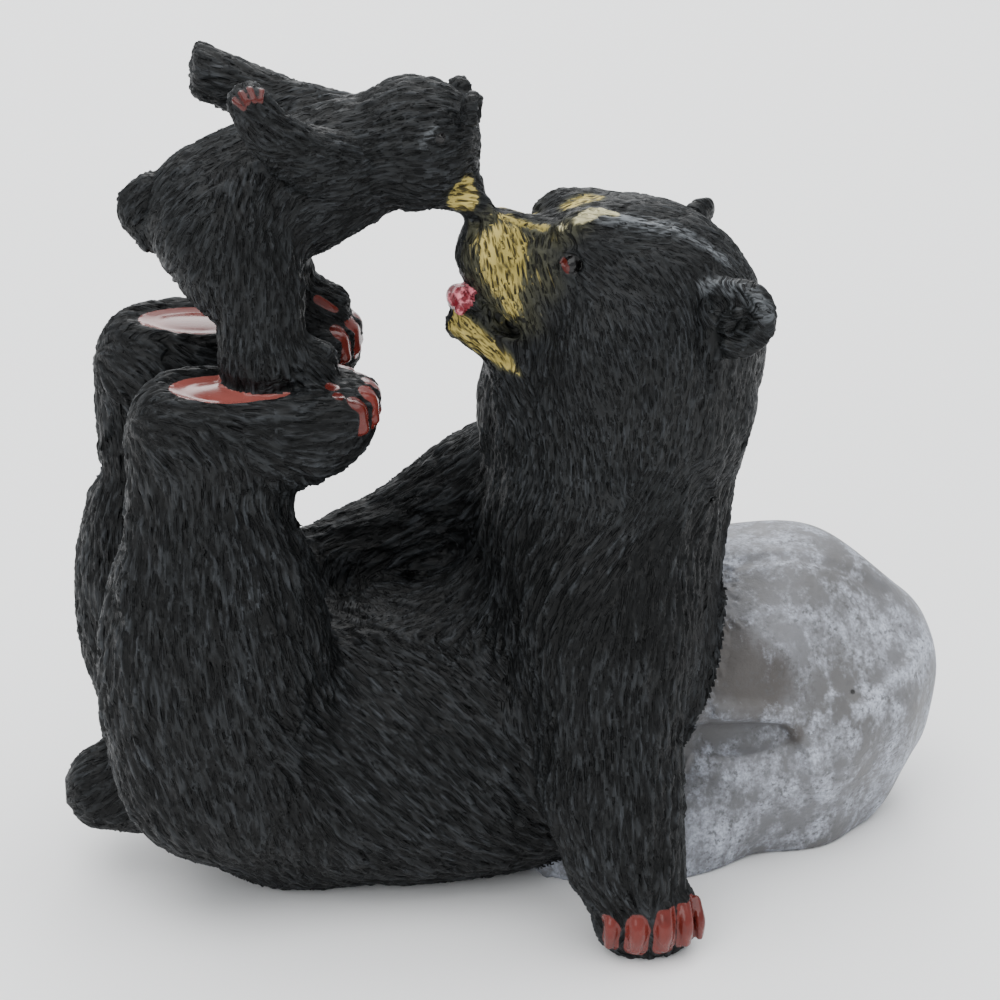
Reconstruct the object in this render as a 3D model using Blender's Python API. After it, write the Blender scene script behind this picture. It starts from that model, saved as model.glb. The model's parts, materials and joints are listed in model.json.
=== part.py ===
"""A resin figurine, cast in one piece: a black bear lies back against a boulder, props herself on one arm
and holds a cub up on her raised soles, nose to nose. The forms are shares of the figurine's height, in units
that come to a millimetre each at its real height, and they are modelled like clay: as the distance to their
skin. X runs from her tail to the boulder, Y from her left side to her right, Z up from what she lies on."""

import math

import bmesh
import bpy
import numpy as np
import openvdb
from mathutils import Matrix, Vector

# The figurine's real height, in metres, and the height that it has in the units of all the sizes below
HEIGHT = 0.1744
DRAWN_HEIGHT = 174.4
UNIT = HEIGHT / DRAWN_HEIGHT

# The mother's raised legs and the pads of her soles. Her ankles and feet are drawn for soles of DRAWN_SOLE
NEAR_SOLE = 115.5
FAR_SOLE = 116.5
DRAWN_SOLE = 114.5
SOLE_TILT = 3.5
LEG_SPREAD = 16.5
LEG_STAGGER = 4.4
PAD_LENGTH = 29.0
PAD_WIDTH = 16.0
PAD_DEPTH = 2.6
TOES = 5
TOE_PITCH = 4.3
CLAW_PITCH = 3.8

# Her head
HEAD_CENTRE = (28.0, 0.0, 119.0)
HEAD_HEADING = 187.0
HEAD_PITCH = 35.0
NOSE = (39.5, 0.0, -0.5)

# Her ears: which side, place and radii
EARS = ((1, (-8.3, 20.5, 11), (3.4, 8, 8.2)), (-1, (-8, -19.5, 14.5), (3.4, 6.4, 8.8)))

# How far the cub's far foot stands ahead of its near one, and how far in from the middle of her soles
CUB_STRIDE = 5.5
CUB_TOES_IN = 1.8

# The boulder's middle, and flat chips knocked off it: direction in degrees, slope, and how far out each lies
BOULDER_MIDDLE = (54, 13, 27)
CHIPS = (
    (-62, 0.75, 33.5),
    (-18, 0.55, 41.5),
    (28, 0.9, 38.5),
    (75, 0.5, 32.5),
    (-95, 0.15, 32),
    (8, -0.1, 41),
)
ROCK_WAVE = 27.0
ROCK_RELIEF = 1.1

# Locks of hair: width, length and depth. Each starts a share of its length further along than its neighbour
LOCK = (11.0, 22.0, 1.6)
SMALL_LOCK = (8.5, 17.0, 1.2)
CUB_LOCK = (7.5, 13.0, 1.0)
LOCK_STAGGER = 0.618

# The clay, and how coarse it is cut
CLAY_STEP = 0.9
TRIANGLES = 9600
FAR = 60.0
CLAY_LOW = (-96, -66, -6)
CLAY_HIGH = (104, 62, 182)

# The block that sands the underside flat, and how deep the clay reaches below the ground before that
BLOCK_SIDE = 400
BLOCK_DEPTH = 40
UNDERGROUND = 3


class Frame:
    """A place and a direction to model in: x forward, y to the left and z up, as that part sees them."""

    def __init__(self, origin, heading=0.0, pitch=0.0, roll=0.0):
        turn = (
            Matrix.Rotation(math.radians(heading), 3, "Z")
            @ Matrix.Rotation(math.radians(-pitch), 3, "Y")
            @ Matrix.Rotation(math.radians(roll), 3, "X")
        )
        self.origin = np.array(origin, np.float64)
        self.turn = np.array(turn, np.float64)

    def point(self, local):
        return self.origin + self.turn @ np.array(local, np.float64)


WORLD = Frame((0, 0, 0))
HEAD = Frame(HEAD_CENTRE, heading=HEAD_HEADING, pitch=HEAD_PITCH)


class Ellipsoid:
    """A ball stretched to three radii, tilted by pitch, heading and roll within its frame."""

    def __init__(self, centre, radii, frame=WORLD, heading=0.0, pitch=0.0, roll=0.0):
        self.centre = frame.point(centre)
        self.radii = np.array(radii, np.float64)
        self.turn = frame.turn @ Frame((0, 0, 0), heading, pitch, roll).turn
        reach = np.abs(self.turn) @ self.radii
        self.low, self.high = self.centre - reach, self.centre + reach

    def distance(self, x, y, z):
        offset = (x - self.centre[0], y - self.centre[1], z - self.centre[2])
        outer = inner = 0.0
        for axis in range(3):
            along = sum(offset[k] * np.float32(self.turn[k, axis]) for k in range(3))
            outer = outer + (along / self.radii[axis]) ** 2
            inner = inner + (along / self.radii[axis] ** 2) ** 2
        outer, inner = np.sqrt(outer), np.sqrt(inner) + 1e-6
        return outer * (outer - 1) / inner


class Limb:
    """A round form swept through stations of (x, y, z, radius), slimmer or wider across y by a ratio."""

    PER_SPAN = 4

    def __init__(self, stations, frame=WORLD, across=1.0):
        path = smooth_path(np.array(stations, np.float64), self.PER_SPAN)
        self.points = np.array([frame.point(p) for p in path[:, :3]])
        self.radii = path[:, 3]
        self.side, self.across = frame.turn[:, 1], across
        reach = self.radii[:, None] * max(1.0, across)
        self.low = (self.points - reach).min(0)
        self.high = (self.points + reach).max(0)

    def distance(self, x, y, z):
        nearest = None
        stretch = (1 / self.across - 1) * self.side
        for a, b, ra, rb in zip(self.points, self.points[1:], self.radii, self.radii[1:]):
            span = b - a
            span = span + stretch * (span @ self.side)
            px, py, pz = x - a[0], y - a[1], z - a[2]
            if self.across != 1.0:
                off = px * self.side[0] + py * self.side[1] + pz * self.side[2]
                px, py, pz = (p + off * s for p, s in zip((px, py, pz), stretch))
            square = max(float(span @ span), 1e-9)
            t = np.clip((px * span[0] + py * span[1] + pz * span[2]) / square, 0, 1)
            gap = (px - t * span[0]) ** 2 + (py - t * span[1]) ** 2 + (pz - t * span[2]) ** 2
            d = np.sqrt(gap) - (ra + t * (rb - ra))
            nearest = d if nearest is None else np.minimum(nearest, d)
        return nearest * min(1.0, self.across)


class Slab:
    """All that lies on the far side of a plane, up to a cap in size, for cutting flats."""

    def __init__(self, point, normal, low, high):
        self.point = np.array(point, np.float64)
        self.normal = np.array(normal, np.float64) / np.linalg.norm(normal)
        self.low, self.high = np.array(low, np.float64), np.array(high, np.float64)

    def distance(self, x, y, z):
        p, n = self.point, self.normal
        return -((x - p[0]) * n[0] + (y - p[1]) * n[1] + (z - p[2]) * n[2])


def smooth_path(stations, per_span):
    """Points on a Catmull-Rom curve through the stations, all columns alike."""
    ends = np.vstack([2 * stations[0] - stations[1], stations, 2 * stations[-1] - stations[-2]])
    found = [stations[0]]
    for a, b, c, d in zip(ends, ends[1:], ends[2:], ends[3:]):
        for t in np.linspace(0, 1, per_span + 1)[1:]:
            bend = 2 * a - 5 * b + 4 * c - d
            twist = -a + 3 * b - 3 * c + d
            found.append(0.5 * (2 * b + (c - a) * t + bend * t**2 + twist * t**3))
    return np.array(found)


def smooth_least(a, b, blend):
    """The lesser of two distances, rounded where they are within blend of each other."""
    near = np.maximum(blend - np.abs(a - b), 0) / blend
    return np.minimum(a, b) - near * near * blend * np.float32(0.25)


class Clay:
    """Modelling clay, as the distance to its surface at each point of a grid, negative inside."""

    def __init__(self, low, high, step):
        self.step = step
        self.axes = [np.arange(a, b, step, dtype=np.float32) for a, b in zip(low, high)]
        self.field = np.full([len(axis) for axis in self.axes], FAR, np.float32)

    def window(self, form, reach):
        ranges = [
            slice(*np.searchsorted(axis, (low - reach, high + reach)))
            for axis, low, high in zip(self.axes, form.low, form.high)
        ]
        return tuple(ranges), np.ix_(*[axis[r] for axis, r in zip(self.axes, ranges)])

    def add(self, form, blend=3.0):
        where, grid = self.window(form, blend + 4 * self.step)
        self.field[where] = smooth_least(self.field[where], form.distance(*grid), blend)

    def carve(self, form, blend=1.0):
        where, grid = self.window(form, blend + 4 * self.step)
        self.field[where] = -smooth_least(-self.field[where], form.distance(*grid), blend)

    def roughen(self, low, high, wave, depth):
        """Lumps and hollows of about one wave length over all skin between two corners."""
        where, (x, y, z) = self.window(Slab(low, (0, 0, 1), low, high), 0)
        k = 2 * math.pi / wave
        lumps = np.sin(k * (x + 0.4 * y)) * np.sin(k * (0.8 * y + 0.3 * z))
        lumps = lumps + np.sin(k * (0.9 * z - 0.5 * x) + 1)
        self.field[where] += (depth * 0.6 * lumps).astype(np.float32)

    def comb(self, start, end, girth, lock, reach):
        """Raise pointed locks of hair on whatever skin lies around a line, from its start to its end."""
        width, length, depth = lock
        start, end = np.array(start, np.float64), np.array(end, np.float64)
        span = np.linalg.norm(end - start)
        turn = Vector((end - start).tolist()).to_track_quat("X", "Z").to_matrix()
        along, left, up = (np.array(turn.col[k]) for k in range(3))
        box = Slab(start, along, np.minimum(start, end) - reach, np.maximum(start, end) + reach)
        where, (x, y, z) = self.window(box, 0)
        x, y, z = x - start[0], y - start[1], z - start[2]
        s = x * along[0] + y * along[1] + z * along[2]
        a = x * left[0] + y * left[1] + z * left[2]
        b = x * up[0] + y * up[1] + z * up[2]
        count = round(girth / width)
        sway = 0.35 * np.sin(s / length * 1.9 + start[0])
        turning = np.arctan2(b, a) / (2 * math.pi) * count + sway
        column = np.floor(turning)
        rise = s / length + column * LOCK_STAGGER
        rise = rise - np.floor(rise)
        across = np.abs(turning - column - 0.5) * 2
        point = np.clip((1 - rise) * 2.2, 0.05, 1)
        lift = np.clip(1 - (across / point) ** 2, 0, 1) * (0.4 + 0.6 * rise)
        ends = np.clip(s / length * 2, 0, 1) * np.clip((span - s) / length, 0, 1)
        near = np.clip((reach - np.hypot(a, b)) / 6, 0, 1) * np.clip(3 - np.abs(self.field[where]) / 2, 0, 1)
        self.field[where] -= (depth * lift * ends * near).astype(np.float32)

    def surface(self):
        """The points and faces of its skin."""
        grid = openvdb.FloatGrid(FAR)
        grid.copyFromArray(self.field)
        points, triangles, quads = grid.convertToPolygons(isovalue=0.0, adaptivity=0.0)
        low = np.array([axis[0] for axis in self.axes])
        return points * self.step + low, [*triangles.tolist(), *quads.tolist()]


def add_torso(clay):
    """Her rump, belly and chest, sunk a little into the ground, and the thick neck that rises from them."""
    clay.add(Limb([(-54, 0, 31, 26), (-30, 0, 27.5, 29.5), (2, 0, 30, 30), (18, 0, 45, 26.5)], across=1.06))
    clay.add(Limb([(8, 0, 38, 27), (18, 0, 56, 24.5), (21.5, 0, 74, 22.3)], across=1.05), 6)
    neck = [(21.5, 0, 70, 22), (22.3, 0, 86, 24.3), (23.5, 0, 100, 27.7), (26.5, 0, 110, 26)]
    clay.add(Limb(neck, across=0.84), 6)
    clay.add(Ellipsoid((-42, -5.5, 13.5), (22, 16, 15)), 4)
    clay.add(Limb([(-62, 3, 19, 9.5), (-72, 4, 18, 10.5), (-80.5, 5, 17, 9)]), 3)


def add_leg(clay, side, sole_height, back):
    """One raised leg: a heavy thigh up from the hip, a shank, and a foot with its sole to the sky."""
    y = side * LEG_SPREAD
    drop = sole_height - DRAWN_SOLE
    column = [
        (-57 - back / 3, y, 34, 22.8),
        (-58.5 - 0.7 * back, y, 50, 23.5),
        (-58.5 - 0.9 * back, y, 66, 21.3),
        (-59 - back / 2, y, 80, 17),
        (-61 - back, y, 92, 13.8),
        (-60 - back, y, 102 + drop, 13),
    ]
    clay.add(Limb(column, across=0.74), 5)
    foot = [
        (-60 - back, y, 104 + drop, 13.5),
        (-50 - back / 2, y, 105 + drop, 14),
        (-40, y, 106.3 + drop, 13.2),
        (-34.8, y, 109 + drop, 9.4),
    ]
    clay.add(Limb(foot, across=0.88), 5)
    for toe in range(TOES):
        across = (toe - (TOES - 1) / 2) * TOE_PITCH
        x = -30.5 - 0.045 * across**2
        clay.add(Ellipsoid((x, y + across, sole_height - 5), (5, 2.7, 4.2)), 1.5)
        claw = [(x + 2.9, y + across, sole_height - 4, 1.6), (x + 4, y + across, sole_height - 8, 1.1)]
        clay.add(Limb(claw), 1)
    tilt = math.tan(math.radians(SOLE_TILT))
    low, high = (-95, y - 17, sole_height - 8), (-12, y + 17, sole_height + 14)
    clay.carve(Slab((-50, 0, sole_height), (tilt, 0, 1), low, high), 3)
    pad = (-54 - back / 2, y, sole_height + 0.6)
    clay.carve(Ellipsoid(pad, (PAD_LENGTH / 2, PAD_WIDTH / 2, PAD_DEPTH), pitch=-SOLE_TILT), 1)


def add_near_arm(clay):
    """The arm that props her up, straight down to a paw flat on the ground with its claws to the front."""
    clay.add(Limb([(18, -12, 74, 20), (18, -22, 62, 18)]), 8)
    clay.add(Limb([(18, -22, 66, 17), (17.5, -31, 48, 14.5), (17, -37, 32, 13)], across=0.95), 5)
    clay.add(Limb([(17, -37, 32, 13), (19, -41, 20, 12), (22.5, -43.5, 9.5, 8.8)]), 4)
    clay.add(Ellipsoid((23.3, -44.3, 6.5), (11, 7.6, 8.5)), 3)
    for claw in range(TOES):
        lean = claw - (TOES - 1) / 2
        x, y = 23.5 + lean * CLAW_PITCH, -51.9 + 0.5 * lean**2
        root, middle = (x, y + 2.6, 13, 2.2), (x + 0.2 * lean, y - 0.4, 8.5, 2.1)
        clay.add(Limb([root, middle, (x + 0.3 * lean, y + 0.8, 4, 1.6)]), 1)


def add_far_arm(clay):
    """The other arm, reaching forward over her belly to her thigh."""
    upper_arm = [(16, 14, 78, 17), (0, 22, 71, 13.5), (-16, 24, 62, 10.5)]
    clay.add(Limb([*upper_arm, (-32, 22, 56.5, 9), (-42, 19, 52, 8)]), 5)


def add_head(clay):
    """Her head, thrown back with the mouth a little open."""
    clay.add(Ellipsoid((0, 0, 0), (23.5, 21.5, 21.5), HEAD), 6)
    clay.add(Ellipsoid((13, 0, 3.5), (14, 13.5, 12), HEAD), 5)
    for side in (-1, 1):
        clay.add(Ellipsoid((1, 13 * side, -10), (17, 10.5, 14), HEAD, heading=14 * side), 6)
        clay.add(Ellipsoid((20.5, 6.5 * side, 7.5), (6.5, 4.5, 4), HEAD, heading=-12 * side), 4)
    clay.add(Limb([(16, 0, -6, 13.5), (26, 0, -5.3, 10.7), (32.2, 0, -4.6, 8.7)], HEAD, across=0.86), 4)
    clay.add(Ellipsoid(NOSE, (3, 4.2, 3.6), HEAD), 1.5)
    clay.add(Limb([(12, 0, -17, 9), (22, 0, -18.5, 6.2), (30, 0, -20.5, 3.6)], HEAD, across=0.9), 3)
    clay.carve(Ellipsoid((33, 0, -16.6), (13, 14, 2.1), HEAD, pitch=-4), 1.2)
    clay.add(Limb([(18, 0, -17, 3.4), (28, 0, -17.6, 2.6)], HEAD, across=1.3), 0.8)
    clay.add(Ellipsoid((32.6, 0, -16.4), (3.8, 4.3, 3), HEAD, pitch=8), 0.8)
    for side, (x, y, z), radii in EARS:
        lean = {"heading": 42 * side, "roll": -24 * side}
        clay.add(Ellipsoid((x, y, z), radii, HEAD, **lean), 2.5)
        hollow = np.array(radii) - (0.4, 3, 3)
        clay.carve(Ellipsoid((x + 3.9, y + 3 * side, z + 0.5), hollow, HEAD, **lean), 1)


def add_boulder(clay):
    """The boulder at her back, rounded by weather, with a few flat chips and ledges left on it."""
    clay.add(Ellipsoid((54, 13, 27.5), (41, 33, 34)), 1.5)
    clay.add(Ellipsoid((29, -4, 6), (27, 19, 18), heading=8), 4)
    clay.add(Ellipsoid((60, 2, 8), (25, 16, 15), heading=25), 5)
    middle = np.array(BOULDER_MIDDLE)
    for heading, height, reach in CHIPS:
        turn = math.radians(heading)
        outward = np.array((math.cos(turn), math.sin(turn), height))
        outward /= np.linalg.norm(outward)
        clay.carve(Slab(middle + reach * outward, outward, (-4, -50, -6), (104, 56, 70)), 5)
    clay.roughen((-4, -50, -6), (104, 56, 70), ROCK_WAVE, ROCK_RELIEF)


def add_cub(clay):
    """The cub: on its feet on her soles, leaning out to her nose with both arms thrown back."""
    far_arm = [(-31, 6, 157, 7), (-42, 12, 160.5, 5.6), (-52, 15.5, 164.6, 5.4), (-58, 17, 167, 5.4)]
    clay.add(Limb(far_arm), 2)
    clay.carve(Slab((-57.6, 17, 167), (-1, 0, 0.15), (-72, 9, 158), (-54, 30, 182)), 2)
    body = [(-54, 0, 142.8, 14.4), (-46, 0, 146.3, 14.4), (-38, 0, 148.3, 13.6), (-31, 0, 151.3, 12)]
    clay.add(Limb(body), 2)
    clay.add(Limb([(-30, 0, 151.3, 12), (-24, 0, 154.3, 11), (-17, -0.5, 155.5, 12)]), 2)
    clay.add(Ellipsoid((-16.5, -1, 155.6), (12.6, 11.8, 12.8)), 3)
    nose = HEAD.point(NOSE)
    muzzle = [(-11, -2, 149.5, 6.5), (*(nose + (-2.9, 0.8, 4.4)), 4.1), (*(nose + (-0.8, 0, 1.8)), 2.8)]
    clay.add(Limb(muzzle), 1.5)
    clay.add(Limb([(-67, 3, 147.4, 3.6), (-69.2, 3, 143.6, 4.5), (-66.8, 3, 137.6, 3.2)]), 0.8)
    for side in (-1, 1):
        ahead = CUB_STRIDE if side > 0 else 0.0
        foot_y = (LEG_SPREAD - CUB_TOES_IN) * side
        hip = (-52.5 + ahead / 3, 8 * side, 139.5, 13.3)
        knee = (-48.2 + 0.6 * ahead, 0.86 * foot_y, 129.5, 9.2)
        clay.add(Limb([hip, knee, (-48 + ahead, foot_y, 121, 8.2)], across=0.85), 3)
        heel, instep = (-48.5 + ahead, foot_y, 118.6, 7.2), (-42 + ahead, foot_y, 117.6, 6)
        clay.add(Limb([heel, instep, (-38 + ahead, foot_y, 117, 4.8)]), 2)
        ear = (-6.5, 8.6 * side - 1, 163.5 - 1.3 * side)
        clay.add(Ellipsoid(ear, (2.4, 3.5, 3.6), heading=30 * side), 1.2)
    near_arm = [(-33, -8, 154, 7.6), (-40, -13, 158.8, 6), (-46, -15, 165, 4.9), (-49, -16, 170.3, 4.1)]
    clay.add(Limb(near_arm), 2)


def comb_mother(clay):
    """Her coat: locks run down the raised legs to the hip, back along the flanks and down neck and arms."""
    for side in (-1, 1):
        y = side * LEG_SPREAD
        clay.comb((-59, y, 100), (-57, y, 12), 120, LOCK, 27)
    clay.comb((24, 0, 112), (20, 0, 30), 150, LOCK, 33)
    clay.comb((12, 0, 30), (-42, 0, 28), 190, LOCK, 36)
    clay.comb((18, -24, 62), (21, -42, 12), 84, SMALL_LOCK, 20)
    clay.comb((6, 20, 73), (-38, 21, 54), 68, SMALL_LOCK, 15)


def comb_cub(clay):
    """The cub's coat: finer locks from its shoulders to its rump."""
    clay.comb((-24, 0, 154), (-62, 0, 143), 88, CUB_LOCK, 17)


def model_clay(step=CLAY_STEP):
    clay = Clay(CLAY_LOW, CLAY_HIGH, step)
    add_boulder(clay)
    add_torso(clay)
    add_leg(clay, -1, NEAR_SOLE, 0.0)
    add_leg(clay, 1, FAR_SOLE, LEG_STAGGER)
    add_far_arm(clay)
    add_near_arm(clay)
    add_head(clay)
    comb_mother(clay)
    add_cub(clay)
    comb_cub(clay)
    clay.carve(Slab((0, 0, -UNDERGROUND), (0, 0, -1), CLAY_LOW, (CLAY_HIGH[0], CLAY_HIGH[1], UNDERGROUND)))
    return clay


def new_collection(name):
    collection = bpy.data.collections.new(name)
    bpy.context.scene.collection.children.link(collection)
    return collection


def painted_resin():
    """Near-black paint over cast resin, the colour of most of the figurine."""
    material = bpy.data.materials.new("painted_resin")
    material.use_nodes = True
    shader = material.node_tree.nodes["Principled BSDF"]
    shader.inputs["Base Color"].default_value = (0.022, 0.023, 0.025, 1)
    shader.inputs["Roughness"].default_value = 0.55
    return material


def floor_cutter(collection):
    """A block whose top is the ground, to sand the underside flat."""
    mesh = bpy.data.meshes.new("ground_block")
    block = bmesh.new()
    bmesh.ops.create_cube(block, size=1)
    bmesh.ops.scale(block, vec=(BLOCK_SIDE * UNIT, BLOCK_SIDE * UNIT, BLOCK_DEPTH * UNIT), verts=block.verts)
    bmesh.ops.translate(block, vec=(0, 0, -BLOCK_DEPTH / 2 * UNIT), verts=block.verts)
    block.to_mesh(mesh)
    block.free()
    cutter = bpy.data.objects.new("ground_block", mesh)
    cutter.hide_render = True
    cutter.display_type = "WIRE"
    collection.objects.link(cutter)
    return cutter


def settle(figure):
    """Move the mesh so that the middle of its footprint is at the origin and its underside at zero."""
    corners = np.array([vertex.co[:] for vertex in figure.data.vertices])
    low, high = corners.min(0), corners.max(0)
    middle = (low + high) / 2
    figure.data.transform(Matrix.Translation((-middle[0], -middle[1], -low[2])))


def main():
    for thing in list(bpy.data.objects):
        bpy.data.objects.remove(thing)
    shown, cutters = new_collection("figurine"), new_collection("cutters")
    points, faces = model_clay().surface()
    mesh = bpy.data.meshes.new("bear_and_cub_figurine")
    mesh.from_pydata((points * UNIT).tolist(), [], faces)
    mesh.materials.append(painted_resin())
    figure = bpy.data.objects.new("bear_and_cub_figurine", mesh)
    shown.objects.link(figure)

    halves = figure.modifiers.new("triangles", "TRIANGULATE")
    halves.quad_method = "SHORTEST_DIAGONAL"
    coarsen = figure.modifiers.new("coarsen", "DECIMATE")
    coarsen.ratio = TRIANGLES / sum(len(face) - 2 for face in faces)
    sand = figure.modifiers.new("sand_flat", "BOOLEAN")
    sand.object = floor_cutter(cutters)
    sand.operation = "DIFFERENCE"
    sand.solver = "EXACT"

    finished = figure.evaluated_get(bpy.context.evaluated_depsgraph_get())
    figure.data = bpy.data.meshes.new_from_object(finished)
    figure.modifiers.clear()
    settle(figure)


if __name__ == "__main__":
    main()
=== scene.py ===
"""The looks of a resin figurine: a black bear lies back against a boulder and holds a cub up on her soles.
It is modelled again as clay, much finer than the solid, and its coat is carved in stroke by stroke.
X runs from her tail to the boulder, Y from her left side to her right, Z up. Sizes are in millimetres
until the meshes are made."""

import itertools
import json
import math

import bpy
import numpy as np
import openvdb
from mathutils import Matrix, Vector

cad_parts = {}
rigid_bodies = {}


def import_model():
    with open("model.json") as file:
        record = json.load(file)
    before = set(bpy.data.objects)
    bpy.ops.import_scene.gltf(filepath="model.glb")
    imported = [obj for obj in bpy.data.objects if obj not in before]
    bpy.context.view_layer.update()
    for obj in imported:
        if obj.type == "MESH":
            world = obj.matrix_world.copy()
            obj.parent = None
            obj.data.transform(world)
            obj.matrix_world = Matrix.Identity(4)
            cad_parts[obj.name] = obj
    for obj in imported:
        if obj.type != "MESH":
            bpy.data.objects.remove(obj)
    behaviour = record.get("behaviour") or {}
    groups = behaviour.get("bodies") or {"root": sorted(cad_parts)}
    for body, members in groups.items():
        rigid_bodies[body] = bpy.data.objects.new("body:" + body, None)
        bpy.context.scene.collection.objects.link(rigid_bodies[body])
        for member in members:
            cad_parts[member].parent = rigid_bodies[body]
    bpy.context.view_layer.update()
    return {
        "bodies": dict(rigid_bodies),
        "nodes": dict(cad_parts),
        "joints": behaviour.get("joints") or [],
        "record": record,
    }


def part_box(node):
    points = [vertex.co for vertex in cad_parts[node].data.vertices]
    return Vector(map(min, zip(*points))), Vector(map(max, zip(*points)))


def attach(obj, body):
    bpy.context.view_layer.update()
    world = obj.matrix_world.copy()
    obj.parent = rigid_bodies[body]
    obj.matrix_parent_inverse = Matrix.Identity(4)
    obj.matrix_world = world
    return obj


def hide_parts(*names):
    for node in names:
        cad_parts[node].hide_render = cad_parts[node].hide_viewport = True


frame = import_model()

UNIT = 0.001
SHIFT = np.array((-2.091, 4.346, 0.0))
CLAY_STEP = 0.5
FAR = 60.0
SEED = 20

# The mother's raised legs and the pads of her soles
NEAR_SOLE = 115.5
FAR_SOLE = 116.5
DRAWN_SOLE = 114.5
SOLE_TILT = 3.5
LEG_SPREAD = 16.5
LEG_STAGGER = 4.4
PAD_LENGTH = 29.0
PAD_WIDTH = 16.0
PAD_DEPTH = 2.8
PAD_SHIFT = -2.0
TOES = 5
TOE_PITCH = 4.3

# Her head
HEAD_CENTRE = (28.0, 0.0, 119.0)
HEAD_HEADING = 187.0
HEAD_PITCH = 35.0
NOSE = (39.5, 0.0, -0.5)

# Her ears: which side, place and radii
EARS = ((1, (-8.3, 20.5, 11), (3.4, 8, 8.2)), (-1, (-8, -19.5, 14.5), (3.4, 6.4, 8.8)))

# How far the cub's far foot stands ahead of its near one, and how far in from the middle of her soles
CUB_STRIDE = 5.5
CUB_TOES_IN = 1.8

# Flat chips knocked off the boulder: direction in degrees, slope, and how far out from its middle each lies
CHIPS = (
    *((-62, 0.75, 33.5), (-18, 0.55, 41.5), (28, 0.9, 38.5)),
    *((75, 0.5, 32.5), (-95, 0.15, 32), (8, -0.1, 41)),
)

# How long and how high the lumps of its weathered skin are
ROCK_WAVE = 27.0
ROCK_RELIEF = 1.1

# Locks of hair: width, length and depth, and how far each starts along from its neighbour
LOCK = (11.0, 22.0, 0.9)
SMALL_LOCK = (8.5, 17.0, 0.9)
CUB_LOCK = (7.5, 13.0, 0.6)
LOCK_STAGGER = 0.618

# Finer forms of the boulder, as stations of (x, y, z, radius): grooves cut in and worn crests raised
ROCK_GROOVES = (
    ((35.6, -16.9, 31.1, 3.6), (41.6, -17.5, 30.2, 3.7), (49, -17.5, 30.2, 3.5), (57.6, -18.5, 31, 2.4)),
    (
        (50, 4.2, 61.1, 2.3),
        (57.6, 4.2, 62.2, 2.5),
        (65.2, 4.2, 61.3, 2.5),
        (73.9, 4, 57.5, 2.5),
        (82.5, 4, 51.8, 2.4),
    ),
)
ROCK_CRESTS = (
    ((37, -14.2, 37.6, 2), (43.4, -16.6, 36.8, 2), (50.4, -16.2, 36, 2), (58.1, -16.3, 34.6, 2)),
    ((63.2, -15.9, 33.8, 1.8), (66.4, -14.2, 36.7, 1.8)),
    ((71, -14.6, 33.8, 2), (74.4, -12.8, 34.4, 2), (83, -5.9, 37.7, 2), (87, -0.3, 39.2, 1.9)),
    ((57.2, -15.3, 33.7, 2), (61.7, -17.6, 26, 2), (65, -15.5, 15.6, 1.9)),
)

# Her near eye in her head's own frame: the middle of its socket, and the middle and radius of its ball
EYE_SOCKET = (22.9, 10.9, 2.3)
EYE_BALL = (22.5, 9.95, 1.95)
EYE_RADIUS = 1.85

# The cub's near eye, and where across Y the middle of its head is
CUB_EYE = (-12.9, -11.3, 160.1)
CUB_EYE_RADIUS = 0.9
CUB_MIDDLE = -1.0

# The crest over her near eye and the eye's two lids, in her head's own frame
EYE_CREST = (
    (26.4, 7, 6, 2),
    (24.9, 7, 9, 2.2),
    (21.4, 6, 11.6, 2.2),
    (14.5, 8.3, 13.9, 2),
    (7.4, 9.2, 16.8, 1.7),
)
EYE_LIDS = (
    ((25.2, 9.9, 3.3, 0.5), (23.7, 10.2, 4.5, 0.7), (21.4, 10.9, 4.5, 0.7), (19.8, 11.6, 2.8, 0.5)),
    ((25.2, 10.1, 1.3, 0.4), (23.8, 11, -0.1, 0.5), (21.8, 11.7, -0.1, 0.5), (20.2, 11.8, 1.6, 0.4)),
)

# The rim of her near ear, in her head's own frame
EAR_RIM = (
    (0.2, 17.2, 12.2, 1.0),
    (-2.6, 17.3, 14.3, 1.1),
    (-5.4, 19.8, 16.2, 1.2),
    (-8, 22.8, 16.2, 1.2),
    (-10.8, 24.8, 15.3, 1.2),
    (-12.6, 25.5, 12.8, 1.1),
    (-12.6, 25.2, 9.5, 1.0),
)

# The folds inside it: place and radii
EAR_FOLDS = (
    ((-6.4, 21.6, 10), (1.8, 2.6, 3)),
    ((-9, 24.4, 6.4), (2.9, 2.0, 1.9)),
    ((-5.8, 24, 12.4), (1.3, 1.8, 1.6)),
)

# The lumps on her tongue: place and radius
TONGUE_LUMPS = (((35, 2.2, -14.9), 1.5), ((33.6, 3.6, -17.6), 1.4), ((31, 3.4, -15.2), 1.5))

# The claws of the paw on the ground: where each stands, and how wide it is
PAW_CLAWS = ((15.4, 1.6), (20.1, 2.1), (25.2, 2.0), (29.5, 1.7), (32.4, 1.2))


class Frame:
    """A place and a direction to model in: x forward, y to the left and z up, as the part sees them."""

    def __init__(self, origin, heading=0.0, pitch=0.0, roll=0.0):
        turn = (
            Matrix.Rotation(math.radians(heading), 3, "Z")
            @ Matrix.Rotation(math.radians(-pitch), 3, "Y")
            @ Matrix.Rotation(math.radians(roll), 3, "X")
        )
        self.origin = np.array(origin, np.float64)
        self.turn = np.array(turn, np.float64)

    def point(self, local):
        return self.origin + self.turn @ np.array(local, np.float64)

    def local(self, points):
        return (points - self.origin) @ self.turn


WORLD = Frame((0, 0, 0))
HEAD = Frame(HEAD_CENTRE, heading=HEAD_HEADING, pitch=HEAD_PITCH)


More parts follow.
